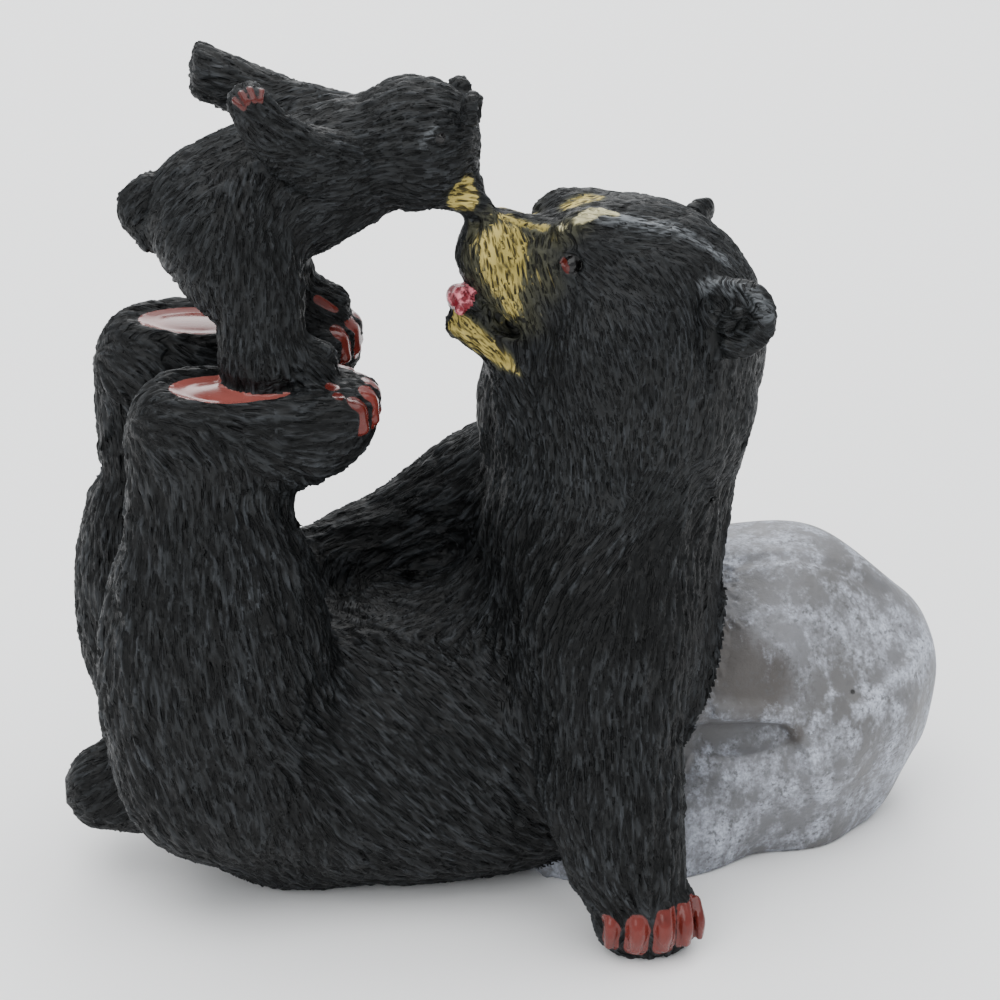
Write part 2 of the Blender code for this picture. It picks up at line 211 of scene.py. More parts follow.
class Ellipsoid:
    """A ball stretched to three radii, tilted by pitch, heading and roll within its frame."""

    def __init__(self, centre, radii, frame=WORLD, heading=0.0, pitch=0.0, roll=0.0):
        self.centre = frame.point(centre)
        self.radii = np.array(radii, np.float64)
        self.turn = frame.turn @ Frame((0, 0, 0), heading, pitch, roll).turn
        reach = np.abs(self.turn) @ self.radii
        self.low, self.high = self.centre - reach, self.centre + reach

    def distance(self, x, y, z):
        offset = (x - self.centre[0], y - self.centre[1], z - self.centre[2])
        outer = inner = 0.0
        for axis in range(3):
            along = sum(offset[k] * np.float32(self.turn[k, axis]) for k in range(3))
            outer = outer + (along / self.radii[axis]) ** 2
            inner = inner + (along / self.radii[axis] ** 2) ** 2
        outer, inner = np.sqrt(outer), np.sqrt(inner) + 1e-6
        return outer * (outer - 1) / inner


class Limb:
    """A rounded form swept through stations of (x, y, z, radius), slimmer or wider across y by a ratio."""

    PER_SPAN = 5

    def __init__(self, stations, frame=WORLD, across=1.0):
        path = smooth_path(np.array(stations, np.float64), self.PER_SPAN)
        self.points = np.array([frame.point(p) for p in path[:, :3]])
        self.radii = path[:, 3]
        self.side, self.across = frame.turn[:, 1], across
        reach = self.radii[:, None] * max(1.0, across)
        self.low = (self.points - reach).min(0)
        self.high = (self.points + reach).max(0)

    def distance(self, x, y, z):
        nearest = None
        stretch = (1 / self.across - 1) * self.side
        for a, b, ra, rb in zip(self.points, self.points[1:], self.radii, self.radii[1:]):
            span = b - a
            span = span + stretch * (span @ self.side)
            px, py, pz = x - a[0], y - a[1], z - a[2]
            if self.across != 1.0:
                off = px * self.side[0] + py * self.side[1] + pz * self.side[2]
                px, py, pz = (p + off * s for p, s in zip((px, py, pz), stretch))
            square = max(float(span @ span), 1e-9)
            t = np.clip((px * span[0] + py * span[1] + pz * span[2]) / square, 0, 1)
            gap = (px - t * span[0]) ** 2 + (py - t * span[1]) ** 2 + (pz - t * span[2]) ** 2
            d = np.sqrt(gap) - (ra + t * (rb - ra))
            nearest = d if nearest is None else np.minimum(nearest, d)
        return nearest * min(1.0, self.across)


class Slab:
    """All that lies on the far side of a plane, up to a cap in size, for cutting flats."""

    def __init__(self, point, normal, low, high):
        self.point = np.array(point, np.float64)
        self.normal = np.array(normal, np.float64) / np.linalg.norm(normal)
        self.low, self.high = np.array(low, np.float64), np.array(high, np.float64)

    def distance(self, x, y, z):
        p, n = self.point, self.normal
        return -((x - p[0]) * n[0] + (y - p[1]) * n[1] + (z - p[2]) * n[2])


def smooth_path(stations, per_span):
    """Points on a Catmull-Rom curve through the stations, all columns alike."""
    ends = np.vstack([2 * stations[0] - stations[1], stations, 2 * stations[-1] - stations[-2]])
    found = [stations[0]]
    for a, b, c, d in zip(ends, ends[1:], ends[2:], ends[3:]):
        for t in np.linspace(0, 1, per_span + 1)[1:]:
            bend = 2 * a - 5 * b + 4 * c - d
            twist = -a + 3 * b - 3 * c + d
            found.append(0.5 * (2 * b + (c - a) * t + bend * t**2 + twist * t**3))
    return np.array(found)


def smooth_least(a, b, blend):
    """The lesser of two distances, rounded where they are within blend of each other."""
    near = np.maximum(blend - np.abs(a - b), 0) / blend
    return np.minimum(a, b) - near * near * blend * np.float32(0.25)


class Clay:
    """Modelling clay, as the distance to its surface at each point of a grid, negative inside."""

    def __init__(self, low, high, step):
        self.step = step
        self.axes = [np.arange(a, b, step, dtype=np.float32) for a, b in zip(low, high)]
        self.field = np.full([len(axis) for axis in self.axes], FAR, np.float32)

    def window(self, form, reach):
        ranges = [
            slice(*np.searchsorted(axis, (low - reach, high + reach)))
            for axis, low, high in zip(self.axes, form.low, form.high)
        ]
        return tuple(ranges), np.ix_(*[axis[r] for axis, r in zip(self.axes, ranges)])

    def add(self, form, blend=3.0):
        where, grid = self.window(form, blend + 4 * self.step)
        self.field[where] = smooth_least(self.field[where], form.distance(*grid).astype(np.float32), blend)

    def carve(self, form, blend=1.0):
        where, grid = self.window(form, blend + 4 * self.step)
        self.field[where] = -smooth_least(-self.field[where], form.distance(*grid).astype(np.float32), blend)

    def roughen(self, low, high, wave, depth):
        """Lumps and hollows of about one wave length over all skin between two corners."""
        where, (x, y, z) = self.window(Slab(low, (0, 0, 1), low, high), 0)
        k = 2 * math.pi / wave
        crossed = np.sin(k * (x + 0.4 * y)) * np.sin(k * (0.8 * y + 0.3 * z))
        lumps = crossed + np.sin(k * (0.9 * z - 0.5 * x) + 1)
        self.field[where] += (depth * 0.6 * lumps).astype(np.float32)

    def comb(self, start, end, girth, lock, reach, bare):
        """Raise pointed locks of hair on the skin around a line, but none on the form whose field is bare."""
        width, length, depth = lock
        start, end = np.array(start, np.float64), np.array(end, np.float64)
        span = np.linalg.norm(end - start)
        turn = Vector((end - start).tolist()).to_track_quat("X", "Z").to_matrix()
        along, left, up = (np.array(turn.col[k], np.float32) for k in range(3))
        box = Slab(start, along, np.minimum(start, end) - reach, np.maximum(start, end) + reach)
        where, (x, y, z) = self.window(box, 0)
        shape = self.field[where].shape
        skin = np.nonzero(np.abs(self.field[where]) < 6)
        x, y, z = (np.broadcast_to(c - np.float32(o), shape)[skin] for c, o in zip((x, y, z), start))
        s = x * along[0] + y * along[1] + z * along[2]
        a = x * left[0] + y * left[1] + z * left[2]
        b = x * up[0] + y * up[1] + z * up[2]
        count = round(girth / width)
        sway = 0.35 * np.sin(s / length * 1.9 + start[0])
        turning = np.arctan2(b, a) / (2 * math.pi) * count + sway
        column = np.floor(turning)
        rise = s / length + column * LOCK_STAGGER
        rise = rise - np.floor(rise)
        across = np.abs(turning - column - 0.5) * 2
        point = np.clip((1 - rise) * 2.2, 0.05, 1)
        lift = np.clip(1 - (across / point) ** 2, 0, 1) * (0.4 + 0.6 * rise)
        ends = np.clip(s / length * 2, 0, 1) * np.clip((span - s) / length, 0, 1)
        near = np.clip((reach - np.hypot(a, b)) / 6, 0, 1)
        near = near * np.clip(3 - np.abs(self.field[where][skin]) / 2, 0, 1)
        near = near * np.clip(bare[where][skin] / 3, 0, 1)
        self.field[where][skin] -= (depth * lift * ends * near).astype(np.float32)

    def sample(self, field, points):
        """The field's value at each point, between its grid points by straight lines."""
        low = np.array([axis[0] for axis in self.axes])
        at = (points - low) / self.step
        base = np.clip(np.floor(at).astype(np.int64), 0, np.array(field.shape) - 2)
        part = at - base
        value = 0.0
        for corner in itertools.product((0, 1), repeat=3):
            share = np.prod(np.where(corner, part, 1 - part), axis=1)
            value = value + share * field[tuple((base + corner).T)]
        return value

    def surface(self):
        """The points and the four-sided faces of its skin."""
        grid = openvdb.FloatGrid(FAR)
        grid.copyFromArray(self.field)
        points, _, quads = grid.convertToPolygons(isovalue=0.0, adaptivity=0.0)
        low = np.array([axis[0] for axis in self.axes])
        return points * self.step + low, quads.astype(np.int64)


def add_torso(clay):
    """Her rump, belly and chest, sunk a little into the ground, and the thick neck that rises from them."""
    clay.add(Limb([(-54, 0, 31, 26), (-30, 0, 27.5, 29.5), (2, 0, 30, 30), (18, 0, 45, 26.5)], across=1.06))
    clay.add(Limb([(8, 0, 38, 27), (18, 0, 56, 24.5), (21.5, 0, 74, 22.3)], across=1.05), 6)
    neck = [(21.5, 0, 70, 22), (22.3, 0, 86, 24.3), (23.5, 0, 100, 27.7), (26.5, 0, 110, 26)]
    clay.add(Limb(neck, across=0.84), 6)
    clay.add(Ellipsoid((-42, -5.5, 13.5), (22, 16, 15)), 4)
    clay.add(Limb([(-62, 3, 19, 9.5), (-72, 4, 18, 10.5), (-80.5, 5, 17, 9)]), 3)


def add_leg(clay, side, sole_height, back):
    """One raised leg: a heavy thigh up from the hip, a shank, and a foot with its sole to the sky."""
    y = side * LEG_SPREAD
    drop = sole_height - DRAWN_SOLE
    column = [
        (-57 - back / 3, y, 34, 22.8),
        (-58.5 - 0.7 * back, y, 50, 23.5),
        (-58.5 - 0.9 * back, y, 66, 21.3),
        (-59 - back / 2, y, 80, 17),
        (-61 - back, y, 92, 13.8),
        (-60 - back, y, 102 + drop, 13),
    ]
    clay.add(Limb(column, across=0.74), 5)
    foot = [
        (-60 - back, y, 104 + drop, 13.5),
        (-50 - back / 2, y, 105 + drop, 14),
        (-40, y, 106.3 + drop, 13.2),
        (-34.8, y, 109 + drop, 9.4),
    ]
    clay.add(Limb(foot, across=0.88), 5)
    for toe in range(TOES):
        across = (toe - (TOES - 1) / 2) * TOE_PITCH
        x = -30.5 - 0.045 * across**2
        clay.add(Ellipsoid((x, y + across, sole_height - 5), (5, 2.7, 4.2)), 1.5)
        claw = [(x + 2.9, y + across, sole_height - 4, 1.9), (x + 4, y + across, sole_height - 8, 1.5)]
        clay.add(Limb(claw), 0.5)
    tilt = math.tan(math.radians(SOLE_TILT))
    low, high = (-95, y - 17, sole_height - 8), (-12, y + 17, sole_height + 14)
    clay.carve(Slab((-50, 0, sole_height), (tilt, 0, 1), low, high), 3)
    pad = (-54 - 0.9 * back, y + PAD_SHIFT, sole_height + 0.6)
    clay.carve(Ellipsoid(pad, (PAD_LENGTH / 2, PAD_WIDTH / 2, PAD_DEPTH), pitch=-SOLE_TILT), 1)
    dome = (pad[0], pad[1], sole_height - 2.6)
    clay.add(Ellipsoid(dome, (0.42 * PAD_LENGTH, 0.42 * PAD_WIDTH, 1.5), pitch=-SOLE_TILT), 0.3)


def add_near_arm(clay):
    """The arm that props her up, straight down to a paw flat on the ground with its claws to the front."""
    clay.add(Limb([(18, -12, 74, 20), (18, -22, 62, 18)]), 8)
    clay.add(Limb([(18, -22, 66, 17), (17.5, -31, 48, 14.5), (17, -37, 32, 13)], across=0.95), 5)
    clay.add(Limb([(17, -37, 32, 13), (19, -41, 20, 12), (22.5, -43.5, 9.5, 8.8)]), 4)
    clay.add(Ellipsoid((23.3, -44.3, 6.5), (11, 7.6, 8.5)), 3)
    for top, middle, low, radius in paw_claws():
        clay.add(Limb([(*top, radius), (*middle, radius), (*low, 0.75 * radius)]), 0.6)


def paw_claws():
    """The top, the middle and the low end of each claw of the paw on the ground, and how wide it is."""
    found = []
    for x, radius in PAW_CLAWS:
        lean = (x - 23.5) / 3.8
        y = -52.2 + 0.5 * lean**2
        top = 13.4 - 0.35 * lean**2
        middle, low = (x + 0.2 * lean, y - 0.4, 8.5), (x + 0.3 * lean, y + 0.8, 4)
        found.append(((x, y + 2.4, top), middle, low, radius))
    return found


def add_far_arm(clay):
    """The other arm, reaching forward over her belly to her thigh."""
    arm = [(16, 14, 78, 17), (0, 22, 71, 13.5), (-16, 24, 62, 10.5), (-32, 22, 56.5, 9), (-42, 19, 52, 8)]
    clay.add(Limb(arm), 5)


def add_head(clay):
    """Her head, thrown back with the mouth a little open."""
    clay.add(Ellipsoid((0, 0, 0), (23.5, 21.5, 21.5), HEAD), 6)
    clay.add(Ellipsoid((13, 0, 3.5), (14, 13.5, 12), HEAD), 5)
    for side in (-1, 1):
        clay.add(Ellipsoid((1, 13 * side, -10), (17, 10.5, 14), HEAD, heading=14 * side), 6)
        clay.add(Ellipsoid((20.5, 6.5 * side, 7.5), (6.5, 4.5, 4), HEAD, heading=-12 * side), 4)
    clay.add(Limb([(16, 0, -6, 13.5), (26, 0, -5.3, 10.7), (32.2, 0, -4.6, 8.7)], HEAD, across=0.86), 4)
    clay.add(Ellipsoid(NOSE, (3, 4.2, 3.6), HEAD), 1.5)
    clay.add(Limb([(12, 0, -17, 9), (22, 0, -18.5, 6.2), (30, 0, -20.5, 3.6)], HEAD, across=0.9), 3)
    clay.carve(Ellipsoid((33, 0, -16.6), (13, 14, 2.1), HEAD, pitch=-4), 1.2)
    clay.add(Limb([(18, 0, -17, 3.4), (28, 0, -17.6, 2.6)], HEAD, across=1.3), 0.8)
    clay.add(Ellipsoid((32.6, 0, -16.4), (3.8, 4.3, 3), HEAD, pitch=8), 0.8)
    for side, (x, y, z), radii in EARS:
        turned = {"frame": HEAD, "heading": 42 * side, "roll": -24 * side}
        clay.add(Ellipsoid((x, y, z), radii, **turned), 2.5)
        hollow = np.array(radii) - (0.2, 2, 2)
        clay.carve(Ellipsoid((x + 3.5, y + 2.6 * side, z + 0.4), hollow, **turned), 1)


def add_face(clay):
    """What is too fine for the solid: crests over her eyes, eyes and lids, nostrils, the near ear's folds."""
    for side in (-1, 1):
        clay.add(Limb(mirrored(EYE_CREST, side), HEAD), 1.5)
        mirror = np.array((1, side, 1))
        clay.carve(Ellipsoid(mirror * EYE_SOCKET, (2.4, 1.7, 2.2), HEAD), 0.6)
        clay.add(Ellipsoid(mirror * EYE_BALL, (EYE_RADIUS,) * 3, HEAD), 0.2)
        for lid in EYE_LIDS:
            clay.add(Limb(mirrored(lid, side), HEAD), 0.6)
        clay.carve(Ellipsoid((41.2, 2.7 * side, -1.4), (1.5, 1.1, 1.2), HEAD), 0.6)
    slit = [(2.8, 24.6, -6.2, 0.8), (0.6, 24.5, -9.6, 1.8), (-1.7, 24.8, -13, 0.9)]
    clay.carve(Limb(slit, HEAD, across=0.6), 0.4)
    valley = [(-0.8, 20.9, 9.4, 1.5), (-4.6, 22.5, 5.2, 2.4), (-9, 22.8, 0, 2.3), (-12, 22, -3, 1.2)]
    clay.carve(Limb(valley, HEAD), 0.6)
    clay.add(Limb(EAR_RIM, HEAD), 0.8)
    for place, radii in EAR_FOLDS:
        clay.add(Ellipsoid(place, radii, HEAD, roll=20), 1)
    clay.add(Ellipsoid((26.5, 0, -15.6), (5.2, 3, 3.6), HEAD), 1)
    for place, radius in TONGUE_LUMPS:
        clay.add(Ellipsoid(place, (radius,) * 3, HEAD), 0.6)


def mirrored(stations, side):
    """Stations of a limb on one side of a head, from those on its near side."""
    return [(x, y * side, z, radius) for x, y, z, radius in stations]


def add_cub_face(clay):
    """The cub's eyes, the hollows of its ears and the edge of fur round its face."""
    for side in (-1, 1):
        x, y, z = CUB_EYE
        away = -side * (y - CUB_MIDDLE)
        clay.carve(Ellipsoid((x + 0.2, CUB_MIDDLE + 1.06 * away, z + 0.2), (1.5, 1.1, 1.2)), 0.5)
        clay.add(Ellipsoid((x, CUB_MIDDLE + away, z), (CUB_EYE_RADIUS,) * 3), 0.2)
        ear_y, ear_z = 8.6 * side - 1, 163.5 - 1.3 * side
        clay.carve(Ellipsoid((-4.4, ear_y + 0.5 * side, ear_z), (1.9, 2.3, 2.4), heading=30 * side), 0.6)
        edge_y = CUB_MIDDLE + side * 11.0
        cheek = [(-13.9, edge_y - 1.1 * side, 162.2, 1), (-16.2, edge_y + 0.5 * side, 159.2, 1.1)]
        clay.add(Limb(cheek), 0.8)
    for root, tip in CUB_CLAWS:
        clay.add(Limb([(*root, 0.7), (*tip, 0.7)]), 0.3)


def add_boulder(clay):
    """The boulder at her back, rounded by weather, with a few flat chips and ledges left on it."""
    clay.add(Ellipsoid((54, 13, 27.5), (41, 33, 34)), 1.5)
    clay.add(Ellipsoid((29, -4, 6), (27, 19, 18), heading=8), 4)
    clay.add(Ellipsoid((60, 2, 8), (25, 16, 15), heading=25), 5)
    middle = np.array((54, 13, 27))
    for heading, height, reach in CHIPS:
        turn = math.radians(heading)
        outward = np.array((math.cos(turn), math.sin(turn), height))
        outward /= np.linalg.norm(outward)
        clay.carve(Slab(middle + reach * outward, outward, (-4, -50, -6), (104, 56, 70)), 5)
    clay.roughen((-4, -50, -6), (104, 56, 70), ROCK_WAVE, ROCK_RELIEF)
    clay.carve(Ellipsoid((50.5, -18.7, 43.5), (13, 4.2, 5), heading=8), 2)
    for groove in ROCK_GROOVES:
        clay.carve(Limb(groove), 0.7)
    for crest in ROCK_CRESTS:
        clay.add(Limb(crest), 1.5)


def add_cub(clay):
    """The cub: on its feet on her soles, leaning out to her nose with both arms thrown back."""
    clay.add(Limb([(-31, 6, 157, 7), (-42, 12, 160.5, 5.6), (-52, 15.5, 164.6, 5.4), (-58, 17, 167, 5.4)]), 2)
    clay.carve(Slab((-57.6, 17, 167), (-1, 0, 0.15), (-72, 9, 158), (-54, 30, 182)), 2)
    trunk = [(-54, 0, 142.8, 14.4), (-46, 0, 146.3, 14.4), (-38, 0, 148.3, 13.6), (-31, 0, 151.3, 12)]
    clay.add(Limb(trunk), 2)
    clay.add(Limb([(-30, 0, 151.3, 12), (-24, 0, 154.3, 11), (-17, -0.5, 155.5, 12)]), 2)
    clay.add(Ellipsoid((-16.5, -1, 155.6), (12.6, 11.8, 12.8)), 3)
    nose = HEAD.point(NOSE)
    muzzle = [(-11, -2, 149.5, 6.5), (*(nose + (-2.9, 0.8, 4.4)), 4.1), (*(nose + (-0.8, 0, 1.8)), 2.8)]
    clay.add(Limb(muzzle), 1.5)
    clay.add(Limb([(-67, 3, 147.4, 3.6), (-69.2, 3, 143.6, 4.5), (-66.8, 3, 137.6, 3.2)]), 0.8)
    for side in (-1, 1):
        ahead = CUB_STRIDE if side > 0 else 0.0
        foot_y = (LEG_SPREAD - CUB_TOES_IN) * side
        hip = (-52.5 + ahead / 3, 8 * side, 139.5, 13.3)
        knee = (-48.2 + 0.6 * ahead, 0.86 * foot_y, 129.5, 9.2)
        clay.add(Limb([hip, knee, (-48 + ahead, foot_y, 121, 8.2)], across=0.85), 3)
        foot = ((-48.5, 118.6, 7.2), (-42, 117.6, 6), (-38, 117, 4.8))
        clay.add(Limb([(x + ahead, foot_y, z, radius) for x, z, radius in foot]), 2)
        ear = (-6.5, 8.6 * side - 1, 163.5 - 1.3 * side)
        clay.add(Ellipsoid(ear, (2.4, 3.5, 3.6), heading=30 * side), 1.2)
    arm = [(-33, -8, 154, 7.6), (-40, -13, 158.8, 6), (-46, -15, 165, 4.9), (-49, -16, 170.3, 4.1)]
    clay.add(Limb(arm), 2)


def comb_mother(clay, boulder):
    """Her coat: locks down the raised legs to the hip, back along the flanks and down neck and arms."""
    for side in (-1, 1):
        y = side * LEG_SPREAD
        clay.comb((-59, y, 100), (-57, y, 12), 120, LOCK, 27, boulder)
    clay.comb((24, 0, 112), (20, 0, 30), 150, LOCK, 33, boulder)
    clay.comb((12, 0, 30), (-42, 0, 28), 190, LOCK, 36, boulder)
    clay.comb((18, -24, 62), (21, -42, 12), 84, SMALL_LOCK, 20, boulder)
    clay.comb((6, 20, 73), (-38, 21, 54), 68, SMALL_LOCK, 15, boulder)


def comb_cub(clay, mother):
    """The cub's coat: finer locks from its shoulders to its rump."""
    clay.comb((-24, 0, 154), (-62, 0, 143), 88, CUB_LOCK, 17, mother)


def model_figure():
    """The whole figurine, with the boulder alone and the mother with it, to tell whose skin is whose."""
    clay = Clay((-96, -66, -6), (104, 62, 182), CLAY_STEP)
    add_boulder(clay)
    boulder = clay.field.copy()
    add_torso(clay)
    add_leg(clay, -1, NEAR_SOLE, 0.0)
    add_leg(clay, 1, FAR_SOLE, LEG_STAGGER)
    add_far_arm(clay)
    add_near_arm(clay)
    add_head(clay)
    comb_mother(clay, boulder)
    add_face(clay)
    mother = clay.field.copy()
    add_cub(clay)
    comb_cub(clay, mother)
    add_cub_face(clay)
    clay.carve(Slab((0, 0, 0), (0, 0, -1), (-96, -66, -6), (104, 62, 4)), 0.4)
    return clay, boulder, mother


# Which way the hair lies: from a start to an end, and how far around that counts
def leg_hair(side, back):
    y = side * LEG_SPREAD
    return [
        ((-60 - back, y, 98), (-60 - back, y, 60), 12),
        ((-58, y, 60), (-52, y, 24), 14),
        ((-46, y, 88), (-38, y, 50), 9),
        ((-64 - back, y, 106), (-34, y, 110), 9),
        ((-72, y, 40), (-58, y, 8), 12),
    ]


MOTHER_HAIR = [
    *leg_hair(-1, 0.0),
    *leg_hair(1, LEG_STAGGER),
    ((-62, 3, 24), (-84, 5, 16), 8),
    ((-40, -28, 44), (-10, -30, 14), 9),
    ((-28, -20, 62), (6, -26, 24), 10),
    ((-40, 28, 44), (-10, 30, 14), 9),
    ((-28, 20, 50), (6, 26, 24), 10),
    ((-50, -8, 10), (-10, -10, 2), 8),
    ((12, 18, 78), (-36, 23, 56), 11),
    ((0, -6, 84), (-14, -8, 58), 8),
    ((44, -8, 92), (10, -26, 70), 9),
    ((44, 8, 92), (16, 26, 66), 9),
    ((20, -25, 64), (17, -38, 28), 11),
    ((18, -38, 28), (23, -52, 4), 9),
    ((22, 0, 108), (18, 0, 84), 12),
    ((44, 0, 104), (40, 0, 70), 10),
    ((36, 0, 66), (34, 0, 20), 12),
]

HEAD_HAIR = [
    ((38, 6, 2), (26, 9, -12), 5),
    ((36, 0, 4), (26, 0, 6), 5),
    ((28, 6, 4), (22, 10, -4), 4),
    ((26, 7, 9), (8, 9, 18), 6),
    ((20, 11, 4), (4, 18, 2), 6),
    ((22, 12, -2), (8, 19, -12), 7),
    ((14, 15, -8), (0, 18, -26), 8),
    ((4, 12, 18), (-18, 12, 14), 8),
    ((30, 4, -20), (14, 8, -24), 5),
    ((-6, 23, 9), (-10, 26, 14), 3.5),
    ((3, 20, 5), (-8, 22, -12), 7),
    ((-14, 14, 8), (-26, 10, -10), 8),
]

CUB_HAIR = [
    ((-14, 0, 158), (-40, 0, 152), 12),
    ((-42, -6, 156), (-62, -6, 142), 9),
    ((-42, 6, 156), (-62, 6, 142), 9),
    ((-50, -12, 150), (-52, -13, 124), 9),
    ((-48, 12, 150), (-48, 13, 124), 9),
    ((-48, -13, 122), (-38, -14, 117), 5),
    ((-43, 13, 122), (-33, 14, 117), 5),
    ((-33, -9, 154), (-49, -17, 170), 5),
    ((-31, 7, 157), (-58, 17, 167), 5),
    ((-65, 3, 150), (-67, 3, 138), 5),
    ((-4, 0, 152), (-14, 0, 162), 7),
    ((-6, -6, 146), (-18, -9, 148), 7),
    ((-30, 0, 146), (-44, 0, 134), 8),
]


def unit(rows):
    return rows / np.maximum(np.linalg.norm(rows, axis=1, keepdims=True), 1e-9)


def normals_of(points, quads):
    """The direction out of the skin at each point."""
    a, b, c, d = (points[quads[:, k]] for k in range(4))
    faces = np.cross(c - a, d - b)
    total = np.zeros_like(points)
    for axis in range(3):
        for k in range(4):
            total[:, axis] += np.bincount(quads[:, k], faces[:, axis], len(points))
    return unit(total)


def hair_flow(points, normals, guides):
    """Which way the hair lies at each point: mostly as the nearest guide lies, along the skin."""
    flow = np.zeros_like(points)
    for start, end, reach in guides:
        start, span = np.array(start, np.float64), np.subtract(end, start)
        t = np.clip((points - start) @ span / (span @ span), 0, 1)
        gap = np.linalg.norm(points - start - t[:, None] * span, axis=1) / reach
        flow += (span / np.linalg.norm(span)) / (0.02 + gap[:, None] ** 5)
    flow -= normals * np.sum(flow * normals, axis=1, keepdims=True)
    return unit(flow)


# More cells than lie side by side along the figurine
CELL_ROW = 2048


def near_pairs(points, seeds, cell):
    """Pairs of a seed and a point that are in the same or neighbouring cells, a batch at a time."""
    low = np.minimum(points.min(0), seeds.min(0)) - 2 * cell

    def key(cells):
        return (cells[:, 0] * CELL_ROW + cells[:, 1]) * CELL_ROW + cells[:, 2]

    keys = key(np.floor((points - low) / cell).astype(np.int64))
    order = np.argsort(keys, kind="stable")
    keys = keys[order]
    home = np.floor((seeds - low) / cell).astype(np.int64)
    for dx, dy in itertools.product((-1, 0, 1), repeat=2):
        middle = key(home + (dx, dy, 0))
        first = np.searchsorted(keys, middle - 1)
        count = np.searchsorted(keys, middle + 2) - first
        seed = np.repeat(np.arange(len(seeds)), count)
        step = np.arange(len(seed)) - np.repeat(np.cumsum(count) - count, count)
        yield seed, order[np.repeat(first, count) + step]


class Coat:
    """The skin while it is carved: its points, which way is out, which way the hair lies, and its relief."""

    def __init__(self, points, normals, flow):
        self.points, self.normals, self.flow = points, normals, flow
        self.left = np.cross(normals, flow)
        self.groove = np.zeros(len(points))
        self.crest = np.zeros(len(points))

    def strokes(self, rng, where, spacing, length, width, depth, raised):
        """Cut short strokes into the skin, or raise pointed locks on it, about one per square of spacing."""
        places = np.flatnonzero(where)
        count = int(len(places) * CLAY_STEP**2 / spacing**2)
        seeds = rng.choice(places, count, replace=False)
        reach = rng.uniform(0.6, 1.0, count) * length / 2
        half = rng.uniform(0.7, 1.0, count) * width / 2
        deep = rng.uniform(0.5, 1.0, count)
        bend = rng.uniform(-1, 1, count) * 0.25 / length
        lean = rng.normal(0, 0.16, count)
        along_way = unit(self.flow[seeds] + lean[:, None] * self.left[seeds])
        across_way = np.cross(self.normals[seeds], along_way)
        target = self.crest if raised else self.groove
        for seed, point in near_pairs(self.points, self.points[seeds], length / 2):
            offset = self.points[point] - self.points[seeds[seed]]
            along = np.sum(offset * along_way[seed], axis=1)
            t = along / reach[seed]
            across = np.sum(offset * across_way[seed], axis=1) - bend[seed] * along**2
            level = np.abs(np.sum(offset * self.normals[seeds[seed]], axis=1)) < 2.2
            if raised:
                taper = np.clip((1 - t) * 0.9, 0, 1)
                shape = np.clip(1 - (across / (half[seed] * taper + 0.05)) ** 2, 0, 1)
                shape = shape * np.clip(1 + t, 0, 1) * (0.75 + 0.25 * t) * (np.abs(t) < 1)
            else:
                shape = np.clip(1 - (across / half[seed]) ** 2, 0, 1) * np.clip(1 - t * t, 0, 1)
            shape = shape * level * deep[seed] * depth
            hit = shape > 0
            np.maximum.at(target, point[hit], shape[hit])


def head_guides():
    """The guides for the hair of her head, on both sides of it."""
    found = []
    for start, end, reach in HEAD_HAIR:
        for side in (-1, 1):
            a, b = np.array(start) * (1, side, 1), np.array(end) * (1, side, 1)
            found.append((HEAD.point(a), HEAD.point(b), reach))
    return found


# Where the mother is parted: the lowest of her head, where hips and chest meet, and a leg's edge and foot
HEAD_LOW = 84.0
HIPS_END = -16.0
LEG_END = -26.0
LEG_LOW = 48.0


def head_part(points):
    """Which points are on her head or her ruff, if they aren't the cub's or the boulder's."""
    return (points[:, 2] > HEAD_LOW) & (points[:, 0] > HIPS_END)


# Her painted face in her head's own frame: outlines in x and z of what is painted on both sides of it
MUZZLE_PATCH = (
    *((38.6, -1), (36.8, 1.4), (33.4, 2.6), (31.3, 1.2), (30, -2), (28.4, -7)),
    *((24.4, -12.8), (25, -14.5), (29.3, -11.3), (34, -9.8), (37.4, -7), (39.4, -3.5)),
)
BROW_LINE = (
    ((26.7, 7.5, 6.6), (25.1, 8, 10.1), 1.35),
    ((25.1, 8, 10.1), (22.2, 6.4, 12.9), 1.4),
    ((22.2, 6.4, 12.9), (19.5, 6.6, 14), 1.3),
)
JAW_STRIPE = (
    *((34.5, -18.6), (28.9, -18.4), (20.4, -20.3), (18.2, -22)),
    *((20.5, -23.6), (27.3, -23.4), (33.5, -22.5)),
)


def line_gap(points, start, end, radius):
    """How far each point is from a rounded rod, negative inside it."""
    start, span = np.array(start, np.float64), np.subtract(end, start)
    t = np.clip((points - start) @ span / (span @ span), 0, 1)
    return np.linalg.norm(points - start - t[:, None] * span, axis=1) - radius


def outline_gap(u, v, outline):
    """How far each point of a plane is from an outline, negative inside it."""
    least, inside = np.full(len(u), 1e9), np.zeros(len(u), bool)
    for (ax, ay), (bx, by) in zip(outline, (*outline[1:], outline[0])):
        ex, ey = bx - ax, by - ay
        t = np.clip(((u - ax) * ex + (v - ay) * ey) / (ex * ex + ey * ey), 0, 1)
        least = np.minimum(least, np.hypot(u - ax - t * ex, v - ay - t * ey))
        inside ^= ((ay > v) != (by > v)) & (u < (v - ay) / (by - ay + 1e-12) * ex + ax)
    return np.where(inside, -least, least)


def blot(gap, softness=1.0):
    """A paint mask from a distance: a half at the edge, one well inside, nought well outside."""
    return np.clip(0.5 - gap / (2 * softness), 0, 1)


def toe_lines(side, sole_height):
    """The claws of one raised foot, each as the two ends of a line."""
    found = []
    for toe in range(TOES):
        across = (toe - (TOES - 1) / 2) * TOE_PITCH
        x, y = -30.5 - 0.045 * across**2, side * LEG_SPREAD + across
        found.append(((x + 2.8, y, sole_height - 2.8), (x + 4.8, y, sole_height - 8.4)))
    return found


